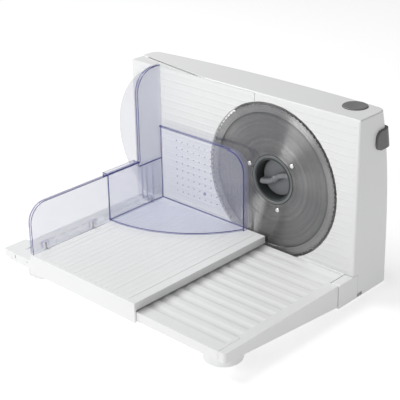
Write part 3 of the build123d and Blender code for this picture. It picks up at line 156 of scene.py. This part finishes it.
class Finish:
    """A material in the making. Plain values go on its shader by name, and node() adds any other node."""

    def __init__(self, name, **plain):
        self.material = bpy.data.materials.new(name)
        self.material.use_nodes = True
        self.tree = self.material.node_tree
        self.shader = self.tree.nodes["Principled BSDF"]
        for label, value in plain.items():
            self.shader.inputs[label.replace("_", " ")].default_value = value

    def node(self, kind, settings, *inputs, out=0, **named):
        """Adds one node: its settings first, then its sockets' values or links, and gives one output."""
        made = self.tree.nodes.new(kind)
        for label, value in settings.items():
            setattr(made, label, value)
        sockets = dict(enumerate(inputs))
        sockets.update({label.replace("_", " "): value for label, value in named.items()})
        for label, value in sockets.items():
            if isinstance(value, Wire):
                self.tree.links.new(value.socket, made.inputs[label])
            elif value is not None:
                made.inputs[label].default_value = value
        return Wire(self, made.outputs[out])

    def place(self):
        """The piece's own coordinates, in metres."""
        return self.node("ShaderNodeTexCoord", {}, out=3)

    def grain(self, scale, detail=2.0, rough=0.5, vector=None):
        """Three-dimensional noise over the piece, 0 to 1."""
        return self.node("ShaderNodeTexNoise", {}, Vector=vector or self.place(), Scale=scale,
                         Detail=detail, Roughness=rough)

    def shade(self, amount, low, high):
        """A colour between two, by an amount. The Mix node's two colours follow five other sockets."""
        other_sockets = (None,) * 5
        return self.node("ShaderNodeMix", {"data_type": "RGBA"}, amount, *other_sockets, low, high, out=2)

    def feed(self, label, value):
        """Links a value that changes over the surface to one of the shader's sockets."""
        self.tree.links.new(value.socket, self.shader.inputs[label])

    def relief(self, height, depth, strength=1.0):
        """Surface relief from a height of 0 to 1, this deep in metres."""
        self.feed("Normal", self.node("ShaderNodeBump", {}, Strength=strength, Distance=depth, Height=height))

    def mould_grain(self, roughness, scale, sway, depth):
        """The spark-eroded grain of a mould: noise sways the roughness about its mean and lifts a relief."""
        speck = self.grain(scale)
        self.feed("Roughness", roughness - sway / 2 + sway * speck)
        self.relief(speck, depth)


def white_moulding(name, roughness):
    """White ABS: its shade drifts a little from place to place under the fine grain of the mould."""
    finish = Finish(name, Roughness=roughness, IOR=1.5)
    finish.feed("Base Color", finish.shade(finish.grain(scale=9.0, detail=3.0), *white_tones))
    finish.mould_grain(roughness, scale=1500.0, sway=0.1, depth=0.000012)
    return finish.material


def moulded(node, material, roll, sharp=corner_angle, roll_over=corner_angle, line_slot=-1):
    """The frame's surface of a node, joined up, with every edge sharper than an angle rolled over.
    Where a slot is given for the edges, those with a bevel weight are rolled instead, in its finish."""
    source = frame["nodes"][node]
    lined = line_slot >= 0
    work = bmesh.new()
    work.from_mesh(source.data)
    bmesh.ops.remove_doubles(work, verts=work.verts, dist=merge_gap)
    bmesh.ops.dissolve_limit(work, angle_limit=flat_enough, verts=work.verts, edges=work.edges)
    mesh = bpy.data.meshes.new(node + "_shape")
    work.to_mesh(mesh)
    work.free()
    mesh.shade_smooth()
    mesh.set_sharp_from_angle(angle=math.radians(sharp))
    mesh.materials.clear()
    mesh.materials.append(material)
    piece = bpy.data.objects.new(node + "_made", mesh)
    bpy.context.scene.collection.objects.link(piece)
    if roll:
        bevel = piece.modifiers.new("rolled_edges", "BEVEL")
        bevel.width = roll
        bevel.segments = roll_segments
        bevel.limit_method = "WEIGHT" if lined else "ANGLE"
        bevel.angle_limit = math.radians(roll_over)
        bevel.use_clamp_overlap = not lined
        bevel.material = line_slot
    level = piece.modifiers.new("even_faces", "WEIGHTED_NORMAL")
    level.keep_sharp = True
    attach(piece, source["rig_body"])
    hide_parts(node)
    return piece


white = white_moulding("white_abs", satin)
moulded("housing_shell", white, housing_roll)

# Front panel and stop plate: thin white mouldings side by side, with level ribs a third of a
# millimetre proud that let the food slide. The plate runs back into the housing on two rods.
panel_sharp = 40.0
ribbed = white_moulding("ribbed_white_abs", 0.3)
for ribbed_node in ("front_panel", "gauge_plate"):
    moulded(ribbed_node, ribbed, fine_roll, panel_sharp)

# Plate works: a natural acetal carrier and nut behind the plate, ground steel rods in bronze
# bushes, and the grey thickness dial on the housing's back.
acetal_tones = (0.70, 0.72, 0.71, 1), (0.62, 0.64, 0.63, 1)
steel_tones = (0.5, 0.5, 0.5, 1), (0.66, 0.66, 0.65, 1)
steel_lay = (40.0, 1.0, 3000.0)
steel_smooth = 0.22
steel_sway = 0.16
bronze_tones = (0.36, 0.23, 0.11, 1), (0.55, 0.38, 0.2, 1)
slate_tones = (0.135, 0.137, 0.14, 1), (0.16, 0.162, 0.165, 1)


def dress(material, *nodes):
    """Gives the frame's own nodes a material."""
    for name in nodes:
        frame["nodes"][name].data.materials.clear()
        frame["nodes"][name].data.materials.append(material)


def mottled(name, tones, scale, detail=2.0, rough=0.5, pitted=0.0, **plain):
    """A finish whose colour drifts between two tones by noise. Where pitted, that noise is its relief."""
    finish = Finish(name, **plain)
    cloud = finish.grain(scale, detail, rough)
    finish.feed("Base Color", finish.shade(cloud, *tones))
    if pitted:
        finish.relief(cloud, pitted)
    return finish


def grey_moulding(name, tones, roughness):
    """Grey ABS with a fine mould grain, its shade a little uneven."""
    finish = mottled(name, tones, scale=30.0, detail=3.0, Roughness=roughness)
    finish.mould_grain(roughness, scale=1600.0, sway=0.12, depth=0.00002)
    return finish.material


acetal = mottled("natural_acetal", acetal_tones, scale=40.0, Roughness=0.42)
acetal.relief(acetal.grain(scale=1800.0), depth=0.00001)
dress(acetal.material, "gauge_carrier", "gauge_nut", "dial_shaft", "switch_bracket", "carriage_glides")

ground_steel = Finish("ground_steel", Metallic=1.0, Roughness=0.3)
lay = ground_steel.node("ShaderNodeMapping", {}, ground_steel.place(), Scale=steel_lay)
scratch = ground_steel.grain(scale=1.0, detail=3.0, rough=0.6, vector=lay)
ground_steel.feed("Base Color", ground_steel.shade(scratch, *steel_tones))
ground_steel.feed("Roughness", steel_smooth + steel_sway * scratch)
dress(ground_steel.material, "gauge_rods", "hinge_pins", "housing_screws", "fence_screws", "motor_shaft",
      "worm", "blade_spindle", "safety_spring")

bronze = mottled("sintered_bronze", bronze_tones, scale=3500.0, detail=4.0, rough=0.7, pitted=0.00003,
                 Metallic=1.0, Roughness=0.5)
dress(bronze.material, "rod_bushes", "spindle_bushes", "worm_bush")

moulded("thickness_dial", grey_moulding("slate_abs", slate_tones, roughness=0.45), fine_roll)

# Motor and gear: pressed steel can on a cast frame, wound rotor, and a worm that turns the
# blade's forty-tooth acetal wheel. All of it is shut inside the housing.
casting_tones = (0.42, 0.43, 0.44, 1), (0.6, 0.61, 0.62, 1)
plating_tones = (0.5, 0.5, 0.52, 1), (0.66, 0.67, 0.68, 1)
stack_tones = (0.16, 0.15, 0.15, 1), (0.3, 0.29, 0.28, 1)
ferrite_tones = (0.03, 0.03, 0.032, 1), (0.07, 0.07, 0.07, 1)
copper_tones = (0.62, 0.27, 0.13, 1), (0.8, 0.42, 0.24, 1)
wheel_tones = (0.72, 0.68, 0.55, 1), (0.66, 0.61, 0.48, 1)
black_tones = (0.02, 0.021, 0.021, 1), (0.035, 0.036, 0.036, 1)
spangle_share = 0.4
sheet_groove = 0.00003

casting = mottled("cast_aluminium", casting_tones, scale=700.0, detail=5.0, rough=0.65, pitted=0.00006,
                  Metallic=1.0, Roughness=0.5)
dress(casting.material, "gear_frame")

plating = Finish("zinc_plated_steel", Metallic=1.0, Roughness=0.38)
spangle = plating.node("ShaderNodeTexVoronoi", {}, Vector=plating.place(), Scale=260.0, out=1)
spangle_shade = plating.node("ShaderNodeRGBToBW", {}, spangle) * spangle_share
plating.feed("Base Color", plating.shade(spangle_shade, *plating_tones))
dress(plating.material, "motor_can")

stack = Finish("rotor_stack", Metallic=0.8, Roughness=0.55)
sheets = stack.node("ShaderNodeTexWave", {"wave_type": "BANDS", "bands_direction": "Z"},
                    Vector=stack.place(), Scale=320.0, Distortion=0.2)
stack.feed("Base Color", stack.shade(sheets, *stack_tones))
stack.relief(sheets, sheet_groove)
dress(stack.material, "armature")

ferrite = mottled("ferrite", ferrite_tones, scale=900.0, Roughness=0.7)
dress(ferrite.material, "motor_magnets", "motor_brushes")

copper = mottled("commutator_copper", copper_tones, scale=500.0, Metallic=1.0, Roughness=0.3)
dress(copper.material, "commutator")

wheel_acetal = mottled("wheel_acetal", wheel_tones, scale=60.0, Roughness=0.4)
dress(wheel_acetal.material, "worm_wheel")

black = grey_moulding("black_nylon_and_shade", black_tones, roughness=0.5)
dress(black, "motor_end_bell", "micro_switch")

# Blade: a stainless disc pressed to a shallow dish, its rim ground to a bevel and cut into 96
# round-bottomed teeth. Turning marks run round it, so light fans out from the hub in wedges.
axis_height = 0.1062
blade_rim = 0.085
tooth_count = 96
tooth_centre = 0.0861
tooth_hollow = 0.0025
steps_per_tooth = 12
bevel_foot = 0.0755
land = 0.0751
dish = 0.050
bore = 0.0245
dish_rows = 9
dish_slope = 0.6
land_depth = 0.0004
dish_depth = 0.0027
sheet = 0.0014
rim_proud = 0.0003
land_back = 0.0018
ring_steps = 96
ring_sharp = 28.0
steel_dark = (0.175, 0.173, 0.171, 1)
steel_light = (0.4, 0.396, 0.39, 1)
# The ground bevel's tone is its grinding plus a painted sheen, and the dark line at its foot is painted shade
# in the step to the dish.
ground_and_sheen_tone = (0.42, 0.42, 0.41, 1)
crease_shade_colour = (0.05, 0.05, 0.05, 1)
crease_shade_width = 0.0004
steel_roughness = 0.17
mark_pitch = 40000.0
mark_lean = 1.4
ring_share = 0.5
swell_shade_share = 0.8
shade_drop = 0.15
ground_and_sheen_share = 0.55
crease_shade_share = 0.55


def closed_ring(name, across, along, up, material):
    """A surface on a grid of points: each row is a closed profile, and the last row joins the first.
    A face spans from each point to the next in its row and to the same two in the next row."""
    rows, columns = across.shape
    points = np.stack([across, along, up], axis=-1).reshape(-1, 3)
    row, column = np.meshgrid(np.arange(rows), np.arange(columns), indexing="ij")
    next_row = (row + 1) % rows
    next_column = (column + 1) % columns
    corners = np.stack([row * columns + column, row * columns + next_column,
                        next_row * columns + next_column, next_row * columns + column], axis=-1)
    mesh = bpy.data.meshes.new(name)
    mesh.from_pydata(points.tolist(), [], corners.reshape(-1, 4).tolist())
    work = bmesh.new()
    work.from_mesh(mesh)
    bmesh.ops.remove_doubles(work, verts=work.verts, dist=merge_gap)
    bmesh.ops.recalc_face_normals(work, faces=work.faces)
    work.to_mesh(mesh)
    work.free()
    mesh.shade_smooth()
    mesh.set_sharp_from_angle(angle=math.radians(ring_sharp))
    mesh.materials.append(material)
    piece = bpy.data.objects.new(name, mesh)
    bpy.context.scene.collection.objects.link(piece)
    return piece


def turned(name, profile, material, centre=(0.0, axis_height), steps=ring_steps):
    """A lathe form about a line along Y. At each turn the profile's radius goes across by its cosine
    and up by its sine from the centre, and its depth goes straight back."""
    radius, depth = np.array(profile, float).T
    turn = np.arange(steps) * 2 * np.pi / steps
    return closed_ring(name, centre[0] + np.outer(np.cos(turn), radius), np.tile(depth, (steps, 1)),
                       centre[1] + np.outer(np.sin(turn), radius), material)


def turned_steel(name, roughness):
    """Stainless steel with turning marks. The surface leans in or out along the radius, by a random amount
    for each radius; the normal map takes each part of that direction halved, plus a half. The colour follows
    two noises of the radius: fine rings of the turning, and a slow swell that is painted shade of the dish's
    undulations. The ground bevel is paler, partly from its grinding and partly a painted sheen. A thin line
    of painted shade marks its foot, where it steps back to the dish."""
    halves = (0.5, 0.5, 0.5)
    finish = Finish(name, Metallic=1.0, Roughness=roughness)
    across, _, up = [finish.node("ShaderNodeSeparateXYZ", {}, finish.place(), out=n) for n in range(3)]
    rise = up - axis_height
    radius = (across * across + rise * rise) ** 0.5
    mark = finish.node("ShaderNodeTexWhiteNoise", {"noise_dimensions": "1D"}, W=radius * mark_pitch)
    lean = (mark - 0.5) * mark_lean
    outward = finish.node("ShaderNodeCombineXYZ", {}, across / radius * lean, 0.0, rise / radius * lean)
    facing = finish.node("ShaderNodeTexCoord", {}, out=1)
    bent = finish.node("ShaderNodeVectorMath", {"operation": "ADD"}, facing, outward)
    level = finish.node("ShaderNodeVectorMath", {"operation": "NORMALIZE"}, bent)
    coded = finish.node("ShaderNodeVectorMath", {"operation": "MULTIPLY_ADD"}, level, halves, halves)
    finish.feed("Normal", finish.node("ShaderNodeNormalMap", {"space": "OBJECT"}, 1.0, coded))
    ring = finish.node("ShaderNodeTexNoise", {"noise_dimensions": "1D"}, W=radius, Scale=900.0, Detail=4.0,
                       Roughness=0.7)
    # The slow swell is painted shade standing in for the dish's undulations.
    swell = finish.node("ShaderNodeTexNoise", {"noise_dimensions": "1D"}, W=radius, Scale=170.0, Detail=1.0)
    # Paler on the bevel: its grinding and a painted sheen. Below, a thin line of painted shade at its foot.
    ground = finish.node("ShaderNodeMath", {"operation": "GREATER_THAN"}, radius, bevel_foot)
    line = finish.node("ShaderNodeMath", {"operation": "COMPARE"}, radius, bevel_foot - crease_shade_width / 2,
                       crease_shade_width)
    disc = finish.shade(ring_share * ring + swell_shade_share * swell - shade_drop, steel_dark, steel_light)
    with_bevel = finish.shade(ground * ground_and_sheen_share, disc, ground_and_sheen_tone)
    finish.feed("Base Color", finish.shade(line * crease_shade_share, with_bevel, crease_shade_colour))
    return finish.material


# The rim's radius follows a ring of small circles: where the turn lies within one of them, it drops
# to that circle's near side. The front falls from the land to the dish by a slope and a smooth step.
turn = np.arange(tooth_count * steps_per_tooth) * 2 * np.pi / (tooth_count * steps_per_tooth)
swing = np.abs((turn * tooth_count / (2 * np.pi) + 0.5) % 1 - 0.5) * 2 * np.pi / tooth_count
reach = np.clip(tooth_hollow ** 2 - (tooth_centre * np.sin(swing)) ** 2, 0, None)
rim = np.where(reach > 0, tooth_centre * np.cos(swing) - np.sqrt(reach), blade_rim)
rim = np.minimum(rim, blade_rim)
ease = np.linspace(0, 1, dish_rows)
smooth_step = 3 * ease ** 2 - 2 * ease ** 3
fall = dish_slope * ease + (1 - dish_slope) * smooth_step
front_radius = np.append(land + (dish - land) * ease, bore)
front_depth = np.append(land_depth + (dish_depth - land_depth) * fall, dish_depth)
bevel_share = (rim - bevel_foot) / (blade_rim - bevel_foot)
rounds = len(turn)
radius_grid = np.column_stack([rim, np.full(rounds, bevel_foot), np.tile(front_radius, (rounds, 1)),
                               np.tile(front_radius[::-1], (rounds, 1)), rim])
depth_grid = np.column_stack([-rim_proud * bevel_share, np.zeros(rounds), np.tile(front_depth, (rounds, 1)),
                              np.tile(front_depth[::-1] + sheet, (rounds, 1)), land_back * (1 - bevel_share)])
blade_steel = turned_steel("turned_stainless", steel_roughness)
blade = closed_ring("blade_disc", np.cos(turn)[:, None] * radius_grid, depth_grid,
                    axis_height + np.sin(turn)[:, None] * radius_grid, blade_steel)
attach(blade, "cutter")
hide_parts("blade")

# Hub: a black nylon cup and flange riveted behind the disc, with a thin grey ring that closes the joint. A
# thin black ring round it is painted shade in that joint. Three bright rivet heads are each domed on a black
# ring of painted shadow.
ring_tones = (0.13, 0.14, 0.14, 1), (0.19, 0.2, 0.2, 1)
cup_tones = (0.035, 0.04, 0.04, 1), (0.055, 0.062, 0.062, 1)
rivet_tones = (0.86, 0.86, 0.85, 1), (0.95, 0.95, 0.94, 1)
cup_roll = 0.00025
ring_edge = 0.0275
ring_radii = (ring_edge, 0.0272, 0.0268, 0.0258, 0.0249, bore)
ring_depths = (dish_depth, 0.0022, 0.0021, 0.0021, 0.0023, dish_depth)
flat_ring_edge_depth = 0.00272
flat_ring_front = 0.00262
flat_ring_back = 0.0029
flat_ring_ease = 0.0001
joint_shade_edge = 0.0283
rivet_circle = 0.0342
rivet_angles = (-78.0, 42.0, 162.0)
rivet_radius = 0.0028
rivet_shank = 0.0027
rivet_rise = 0.0009
rivet_rows = 7
rivet_steps = 32
rivet_shade_ring = 0.0033
pole = 0.00001


def flat_ring_profile(outer, inner):
    """The profile of a flat ring: from its outer edge over an eased front to its inner edge and back."""
    return [(outer, flat_ring_edge_depth), (outer - flat_ring_ease, flat_ring_front), (inner, flat_ring_front), (inner, flat_ring_back),
            (outer, flat_ring_back)]


hub_ring = turned("hub_ring_turned", list(zip(ring_radii, ring_depths)),
                  grey_moulding("hub_ring_grey", ring_tones, roughness=0.35))
# The thin black ring round the grey one is painted shade in its joint with the disc, in the black nylon
# finish.
hub_joint_shade = turned("hub_joint_shade", flat_ring_profile(joint_shade_edge, ring_edge), black)
for piece in (hub_ring, hub_joint_shade):
    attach(piece, "cutter")
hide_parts("hub_ring")

moulded("blade_hub", grey_moulding("cup_nylon", cup_tones, roughness=0.38), cup_roll)

polished = mottled("polished_rivet", rivet_tones, scale=1200.0, Metallic=1.0, Roughness=0.18)
dress(polished.material, "blade_rivets")
head = np.linspace(0, math.pi / 2, rivet_rows)
dome = np.column_stack([rivet_radius * np.cos(head), dish_depth - rivet_rise * np.sin(head)])
rivet_profile = dome.tolist() + [(pole, flat_ring_back), (rivet_shank, flat_ring_back)]
for number, angle in enumerate(np.radians(rivet_angles)):
    spot = (rivet_circle * math.cos(angle), axis_height + rivet_circle * math.sin(angle))
    rivet = turned(f"rivet_head_{number + 1}", rivet_profile, polished.material, spot, rivet_steps)
    # Under each rivet head a thin black ring lies on the disc as painted shadow round its dome.
    shade_ring = turned(f"rivet_shade_ring_{number + 1}", flat_ring_profile(rivet_shade_ring, rivet_radius), black, spot,
                  rivet_steps)
    for piece in (rivet, shade_ring):
        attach(piece, "cutter")

# Blade lock: a cool grey moulded disc in the cup with a raised S-shaped finger bar across it, which
# swells at both ends and in the middle. Turning it frees the blade.
grip_tones = (0.19, 0.197, 0.208, 1), (0.22, 0.228, 0.24, 1)
grip_roll = 0.0003
moulded("lock_grip", grey_moulding("grip_resin", grip_tones, roughness=0.36), grip_roll)

# Buttons: the dished press button on top, on an upright steel spring that it squeezes, and the
# rounded safety pad at the side. Both are dark grey resin, satin from the mould.
pad_tones = (0.115, 0.115, 0.118, 1), (0.14, 0.14, 0.143, 1)
press_tones = (0.17, 0.171, 0.175, 1), (0.195, 0.196, 0.2, 1)
button_roughness = 0.42
pad_roll = 0.0012
pad_sharp = 20.0
moulded("top_button", grey_moulding("press_grey", press_tones, button_roughness), fine_roll)
spring = moulded("top_button_spring", ground_steel.material, 0.0)
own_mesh(spring)
moulded("safety_button", grey_moulding("button_grey", pad_tones, button_roughness), pad_roll, pad_sharp,
        pad_sharp)

# Chassis, base tray, feet and cross rail: white ABS mouldings. The tray hinges on two pins between
# the chassis's cheeks, and its waves lie along X.
for base_node, base_roll in (("chassis_base", fine_roll), ("base_tray", housing_roll),
                             ("front_feet", fine_roll), ("guide_rail", fine_roll)):
    moulded(base_node, white, base_roll)

# Panel lip: the front panel turns under at its foot, right of the blade, and closes the gap
# in front of it down to a seam. It stops short of the arc that the tray's tongue swings through.
lip_left = 0.040
lip_right = 0.101
lip_front = -0.0019
lip_eased_front = -0.0017
lip_back = 0.0025
lip_foot = 0.0278
lip_shoulder = 0.0285
lip_eased_top = 0.0288
panel_foot = 0.0292
lip_outline = [(lip_back, panel_foot), (0.0, panel_foot), (lip_eased_front, lip_eased_top),
               (lip_front, lip_shoulder), (lip_front, lip_foot), (lip_back, lip_foot)]


def barred(name, outline, start, end, material, axis=0):
    """A straight bar along an axis. Its closed outline in the other two directions is set at the start
    and at the end, each point is joined to its twin, and both ends are closed."""
    flat = np.array(outline, float)
    count = len(flat)
    points = np.concatenate([np.insert(flat, axis, level, axis=1) for level in (start, end)])
    this = np.arange(count)
    sides = np.column_stack([this, (this + 1) % count, (this + 1) % count + count, this + count])
    mesh = bpy.data.meshes.new(name)
    mesh.from_pydata(points.tolist(), [], sides.tolist() + [this[::-1].tolist(), (this + count).tolist()])
    work = bmesh.new()
    work.from_mesh(mesh)
    bmesh.ops.recalc_face_normals(work, faces=work.faces)
    work.to_mesh(mesh)
    work.free()
    mesh.materials.append(material)
    piece = bpy.data.objects.new(name, mesh)
    bpy.context.scene.collection.objects.link(piece)
    return piece


panel_lip = barred("panel_lip", lip_outline, lip_left, lip_right, white)
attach(panel_lip, "casing")

# Rubber: black pads under the housing and the feet, the rail's shoes and the cord's gland, all
# moulded dull and a little dusty, and set in their seats.
rubber_tones = (0.022, 0.022, 0.023, 1), (0.05, 0.05, 0.05, 1)
rubber = mottled("black_rubber", rubber_tones, scale=400.0, detail=4.0, rough=0.6, Roughness=0.75)
rubber.relief(rubber.grain(scale=2200.0), depth=0.00003)
dress(rubber.material, "housing_pads", "foot_pads", "rail_shoes", "cable_gland")

# Carriage: a white ABS plate whose ribs run the way the food is pushed. Slide pads under it run on
# the cross rail.
rib_sharp = 12.0
moulded("carriage_plate", ribbed, fine_roll, rib_sharp)

# Fence and pusher: clear violet-tinted SAN. Light crosses the walls easily but gathers in the
# cut edges, so the edges are deep blue and the faces nearly colourless. Screws hold the fence.
face_tint = (0.68, 0.70, 0.86, 1.0)
rim_tint = (0.26, 0.27, 0.5, 1.0)
edge_tint = (0.03, 0.03, 0.2, 1.0)
spike_tint = (0.2, 0.2, 0.45, 1.0)
guard_tint = (0.42, 0.43, 0.5, 1.0)
floor_tint = (0.44, 0.46, 0.6, 1.0)
wall_tint = (0.74, 0.76, 0.86, 1.0)
gloss = 0.08
edge_gloss = 0.35
grazing_blend = 0.35
grazing_veil = 0.08
cloud_veil = 0.03
fence_roll = 0.0005
pusher_roll = 0.0007
lug_rise = 0.010
rim_width = 0.006
spike_area = 0.00003
same_face = math.radians(12)
rolled_corner = math.radians(corner_angle)
inner_corner = 0.45
facing_share = 0.9
wall_slot, rim_slot, edge_slot, spike_slot, denser_slot = range(5)


def clear_moulding(name, tint, veil, roughness=gloss):
    """Clear tinted resin as a thin veil of its colour with a glossy surface. The veil is a mean, plus
    the square of how edge-on the surface is seen and a little noise, each by its own share."""
    finish = Finish(name, Roughness=roughness, IOR=1.5)
    finish.shader.inputs["Base Color"].default_value = tint
    grazing = finish.node("ShaderNodeLayerWeight", {}, grazing_blend, out=1)
    cloud = finish.grain(scale=25.0)
    finish.feed("Alpha", veil + grazing_veil * grazing ** 2.0 + cloud_veil * cloud)
    finish.relief(finish.grain(scale=60.0), depth=0.00008, strength=0.5)
    return finish.material


clear_face = clear_moulding("clear_resin_face", face_tint, veil=0.12)
clear_rim = clear_moulding("clear_resin_rim", rim_tint, veil=0.2)
clear_edge = clear_moulding("clear_resin_edge", edge_tint, veil=0.95, roughness=edge_gloss)
clear_spike = clear_moulding("clear_resin_spike", spike_tint, veil=0.55)
clear_guard = clear_moulding("clear_resin_guard", guard_tint, veil=0.24)
clear_wall = clear_moulding("clear_resin_wall", wall_tint, veil=0.3)
clear_floor = clear_moulding("clear_resin_floor", floor_tint, veil=0.27)


def smooth_runs(work):
    """Sorts the faces into runs, each with its area and the length of its outline. A run spreads from
    one face across every side where the surface turns by less than a small angle."""
    waiting = set(work.faces)
    while waiting:
        run = set()
        front = [waiting.pop()]
        outline = 0.0
        while front:
            face = front.pop()
            run.add(face)
            for side in face.edges:
                joined = [other for other in side.link_faces if other is not face
                          and side.calc_face_angle(math.pi) < same_face]
                outline += 0.0 if joined else side.calc_length()
                fresh = [other for other in joined if other in waiting]
                front += fresh
                waiting.difference_update(fresh)
        yield run, sum(face.calc_area() for face in run), outline


def clear_part(node, roll, wall, denser, facing, foot=0.0, line_denser=True):
    """A clear moulding. A run of faces with a small area is a spike. One whose breadth, twice its area
    over its outline, is small is a cut edge, and a broad one that faces along the given axis is denser.
    Corners between runs are rolled over in the deep tint, inner ones by about half, but for those of
    spikes, of the denser faces where asked, and of whatever ends below a height."""
    piece = moulded(node, wall, roll, line_slot=edge_slot)
    piece.visible_shadow = False
    mesh = piece.data
    for finish in (clear_rim, clear_edge, clear_spike, denser):
        mesh.materials.append(finish)
    work = bmesh.new()
    work.from_mesh(mesh)
    unlined = set()
    for run, area, outline in smooth_runs(work):
        for face in run:
            if area < spike_area:
                face.material_index = spike_slot
            elif 2 * area / outline < rim_width:
                face.material_index = rim_slot if face.calc_center_median().z > foot else wall_slot
            elif abs(face.normal[facing]) > facing_share:
                face.material_index = denser_slot
        finishes = {face.material_index for face in run}
        if finishes == {spike_slot} or (finishes == {denser_slot} and not line_denser):
            unlined |= run
    weight = work.edges.layers.float.new("bevel_weight_edge")
    for side in work.edges:
        turned_over = side.calc_face_angle(0.0) > rolled_corner and not unlined & set(side.link_faces)
        seen = max(corner.co.z for corner in side.verts) > foot
        side[weight] = float(turned_over and seen) * (1.0 if side.is_convex else inner_corner)
    work.to_mesh(mesh)
    work.free()


plate_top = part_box("carriage_plate")[1][2]
clear_part("side_fence", fence_roll, clear_wall, clear_guard, facing=1, foot=plate_top + lug_rise,
           line_denser=False)
clear_part("food_pusher", pusher_roll, clear_face, clear_floor, facing=2)

# Fence flutes: three slim clear ribs, moulded with the fence, stiffen its outer face where its
# tall wall rises.
fence_outside = -0.1632
flute_proud = 0.0010
flute_half = 0.0007
flute_crest = 0.0004
flute_foot = 0.0485
flute_top = 0.0935
flute_places = (-0.034, -0.0265, -0.017)
for number, along in enumerate(flute_places):
    flute_outline = [(fence_outside, along - flute_half), (fence_outside - flute_proud, along - flute_crest),
                     (fence_outside - flute_proud, along + flute_crest), (fence_outside, along + flute_half)]
    flute = barred(f"fence_flute_{number + 1}", flute_outline, flute_foot, flute_top, clear_spike, axis=2)
    flute.visible_shadow = False
    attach(flute, "carriage")

# Studio: a pale sweep of floor that glows like a lit table, in white air. A soft box ahead lights
# the front, and a wider one above on the left brings out the ribs.
floor_reach = 4.0
floor_glow = 0.57
floor_tones = (0.6, 0.6, 0.6, 1), (0.62, 0.62, 0.62, 1)
air_colour = (1.0, 1.0, 1.0, 1)
air_glow = 0.33
front_box = {"place": (-0.15, -1.55, 0.95), "aim": (0.0, 0.0, 0.1), "side": 0.8, "power": 8.5}
top_box = {"place": (-0.95, -0.35, 1.35), "aim": (0.0, -0.05, 0.0), "side": 0.9, "power": 16.0}

paper = mottled("pale_floor", floor_tones, scale=3.0, Roughness=0.9, Emission_Color=(1, 1, 1, 1),
                Emission_Strength=floor_glow)
floor_mesh = bpy.data.meshes.new("floor")
floor_corners = np.array([[-1, -1, 0], [1, -1, 0], [1, 1, 0], [-1, 1, 0]]) * floor_reach
floor_mesh.from_pydata(floor_corners.tolist(), [], [(0, 1, 2, 3)])
floor_mesh.materials.append(paper.material)
floor = bpy.data.objects.new("floor", floor_mesh)
bpy.context.scene.collection.objects.link(floor)
floor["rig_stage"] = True

world = bpy.data.worlds.new("studio_air")
world.use_nodes = True
world.node_tree.nodes["Background"].inputs["Color"].default_value = air_colour
world.node_tree.nodes["Background"].inputs["Strength"].default_value = air_glow
bpy.context.scene.world = world


def soft_light(name, place, aim, side, power):
    """A square soft box at a place. It turns about Z to the aim, and tilts by the aim's angle below it."""
    lamp = bpy.data.lights.new(name, "AREA")
    lamp.shape = "SQUARE"
    lamp.size = side
    lamp.energy = power
    box = bpy.data.objects.new(name, lamp)
    box.location = place
    away = np.array(place) - np.array(aim)
    yaw = math.atan2(away[0], -away[1])
    tilt = math.acos(away[2] / np.linalg.norm(away))
    box.rotation_euler = (tilt, 0.0, yaw)
    bpy.context.scene.collection.objects.link(box)


soft_light("front_box", **front_box)
soft_light("top_box", **top_box)

# Camera: where the photograph was taken from, a little above the machine and to its right, on a
# long lens, with colours shown as they are.
sensor_width = 36.0
focal_length = 99.11
camera_place = (0.68666, -0.83546, 0.57433)
camera_turn = (65.59475, 0.86596, 43.05485)
lens = bpy.data.cameras.new("camera")
lens.sensor_width = sensor_width
lens.lens = focal_length
camera = bpy.data.objects.new("camera", lens)
camera.location = camera_place
camera.rotation_euler = [math.radians(angle) for angle in camera_turn]
bpy.context.scene.collection.objects.link(camera)
bpy.context.scene.camera = camera
bpy.context.scene.view_settings.view_transform = "Standard"
bpy.context.scene.view_settings.look = "None"


def plain(pair):
    """A box as lists of numbers."""
    return [[float(value) for value in corner] for corner in pair]


{"cad": plain(frame_box), "visual": plain(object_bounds())}
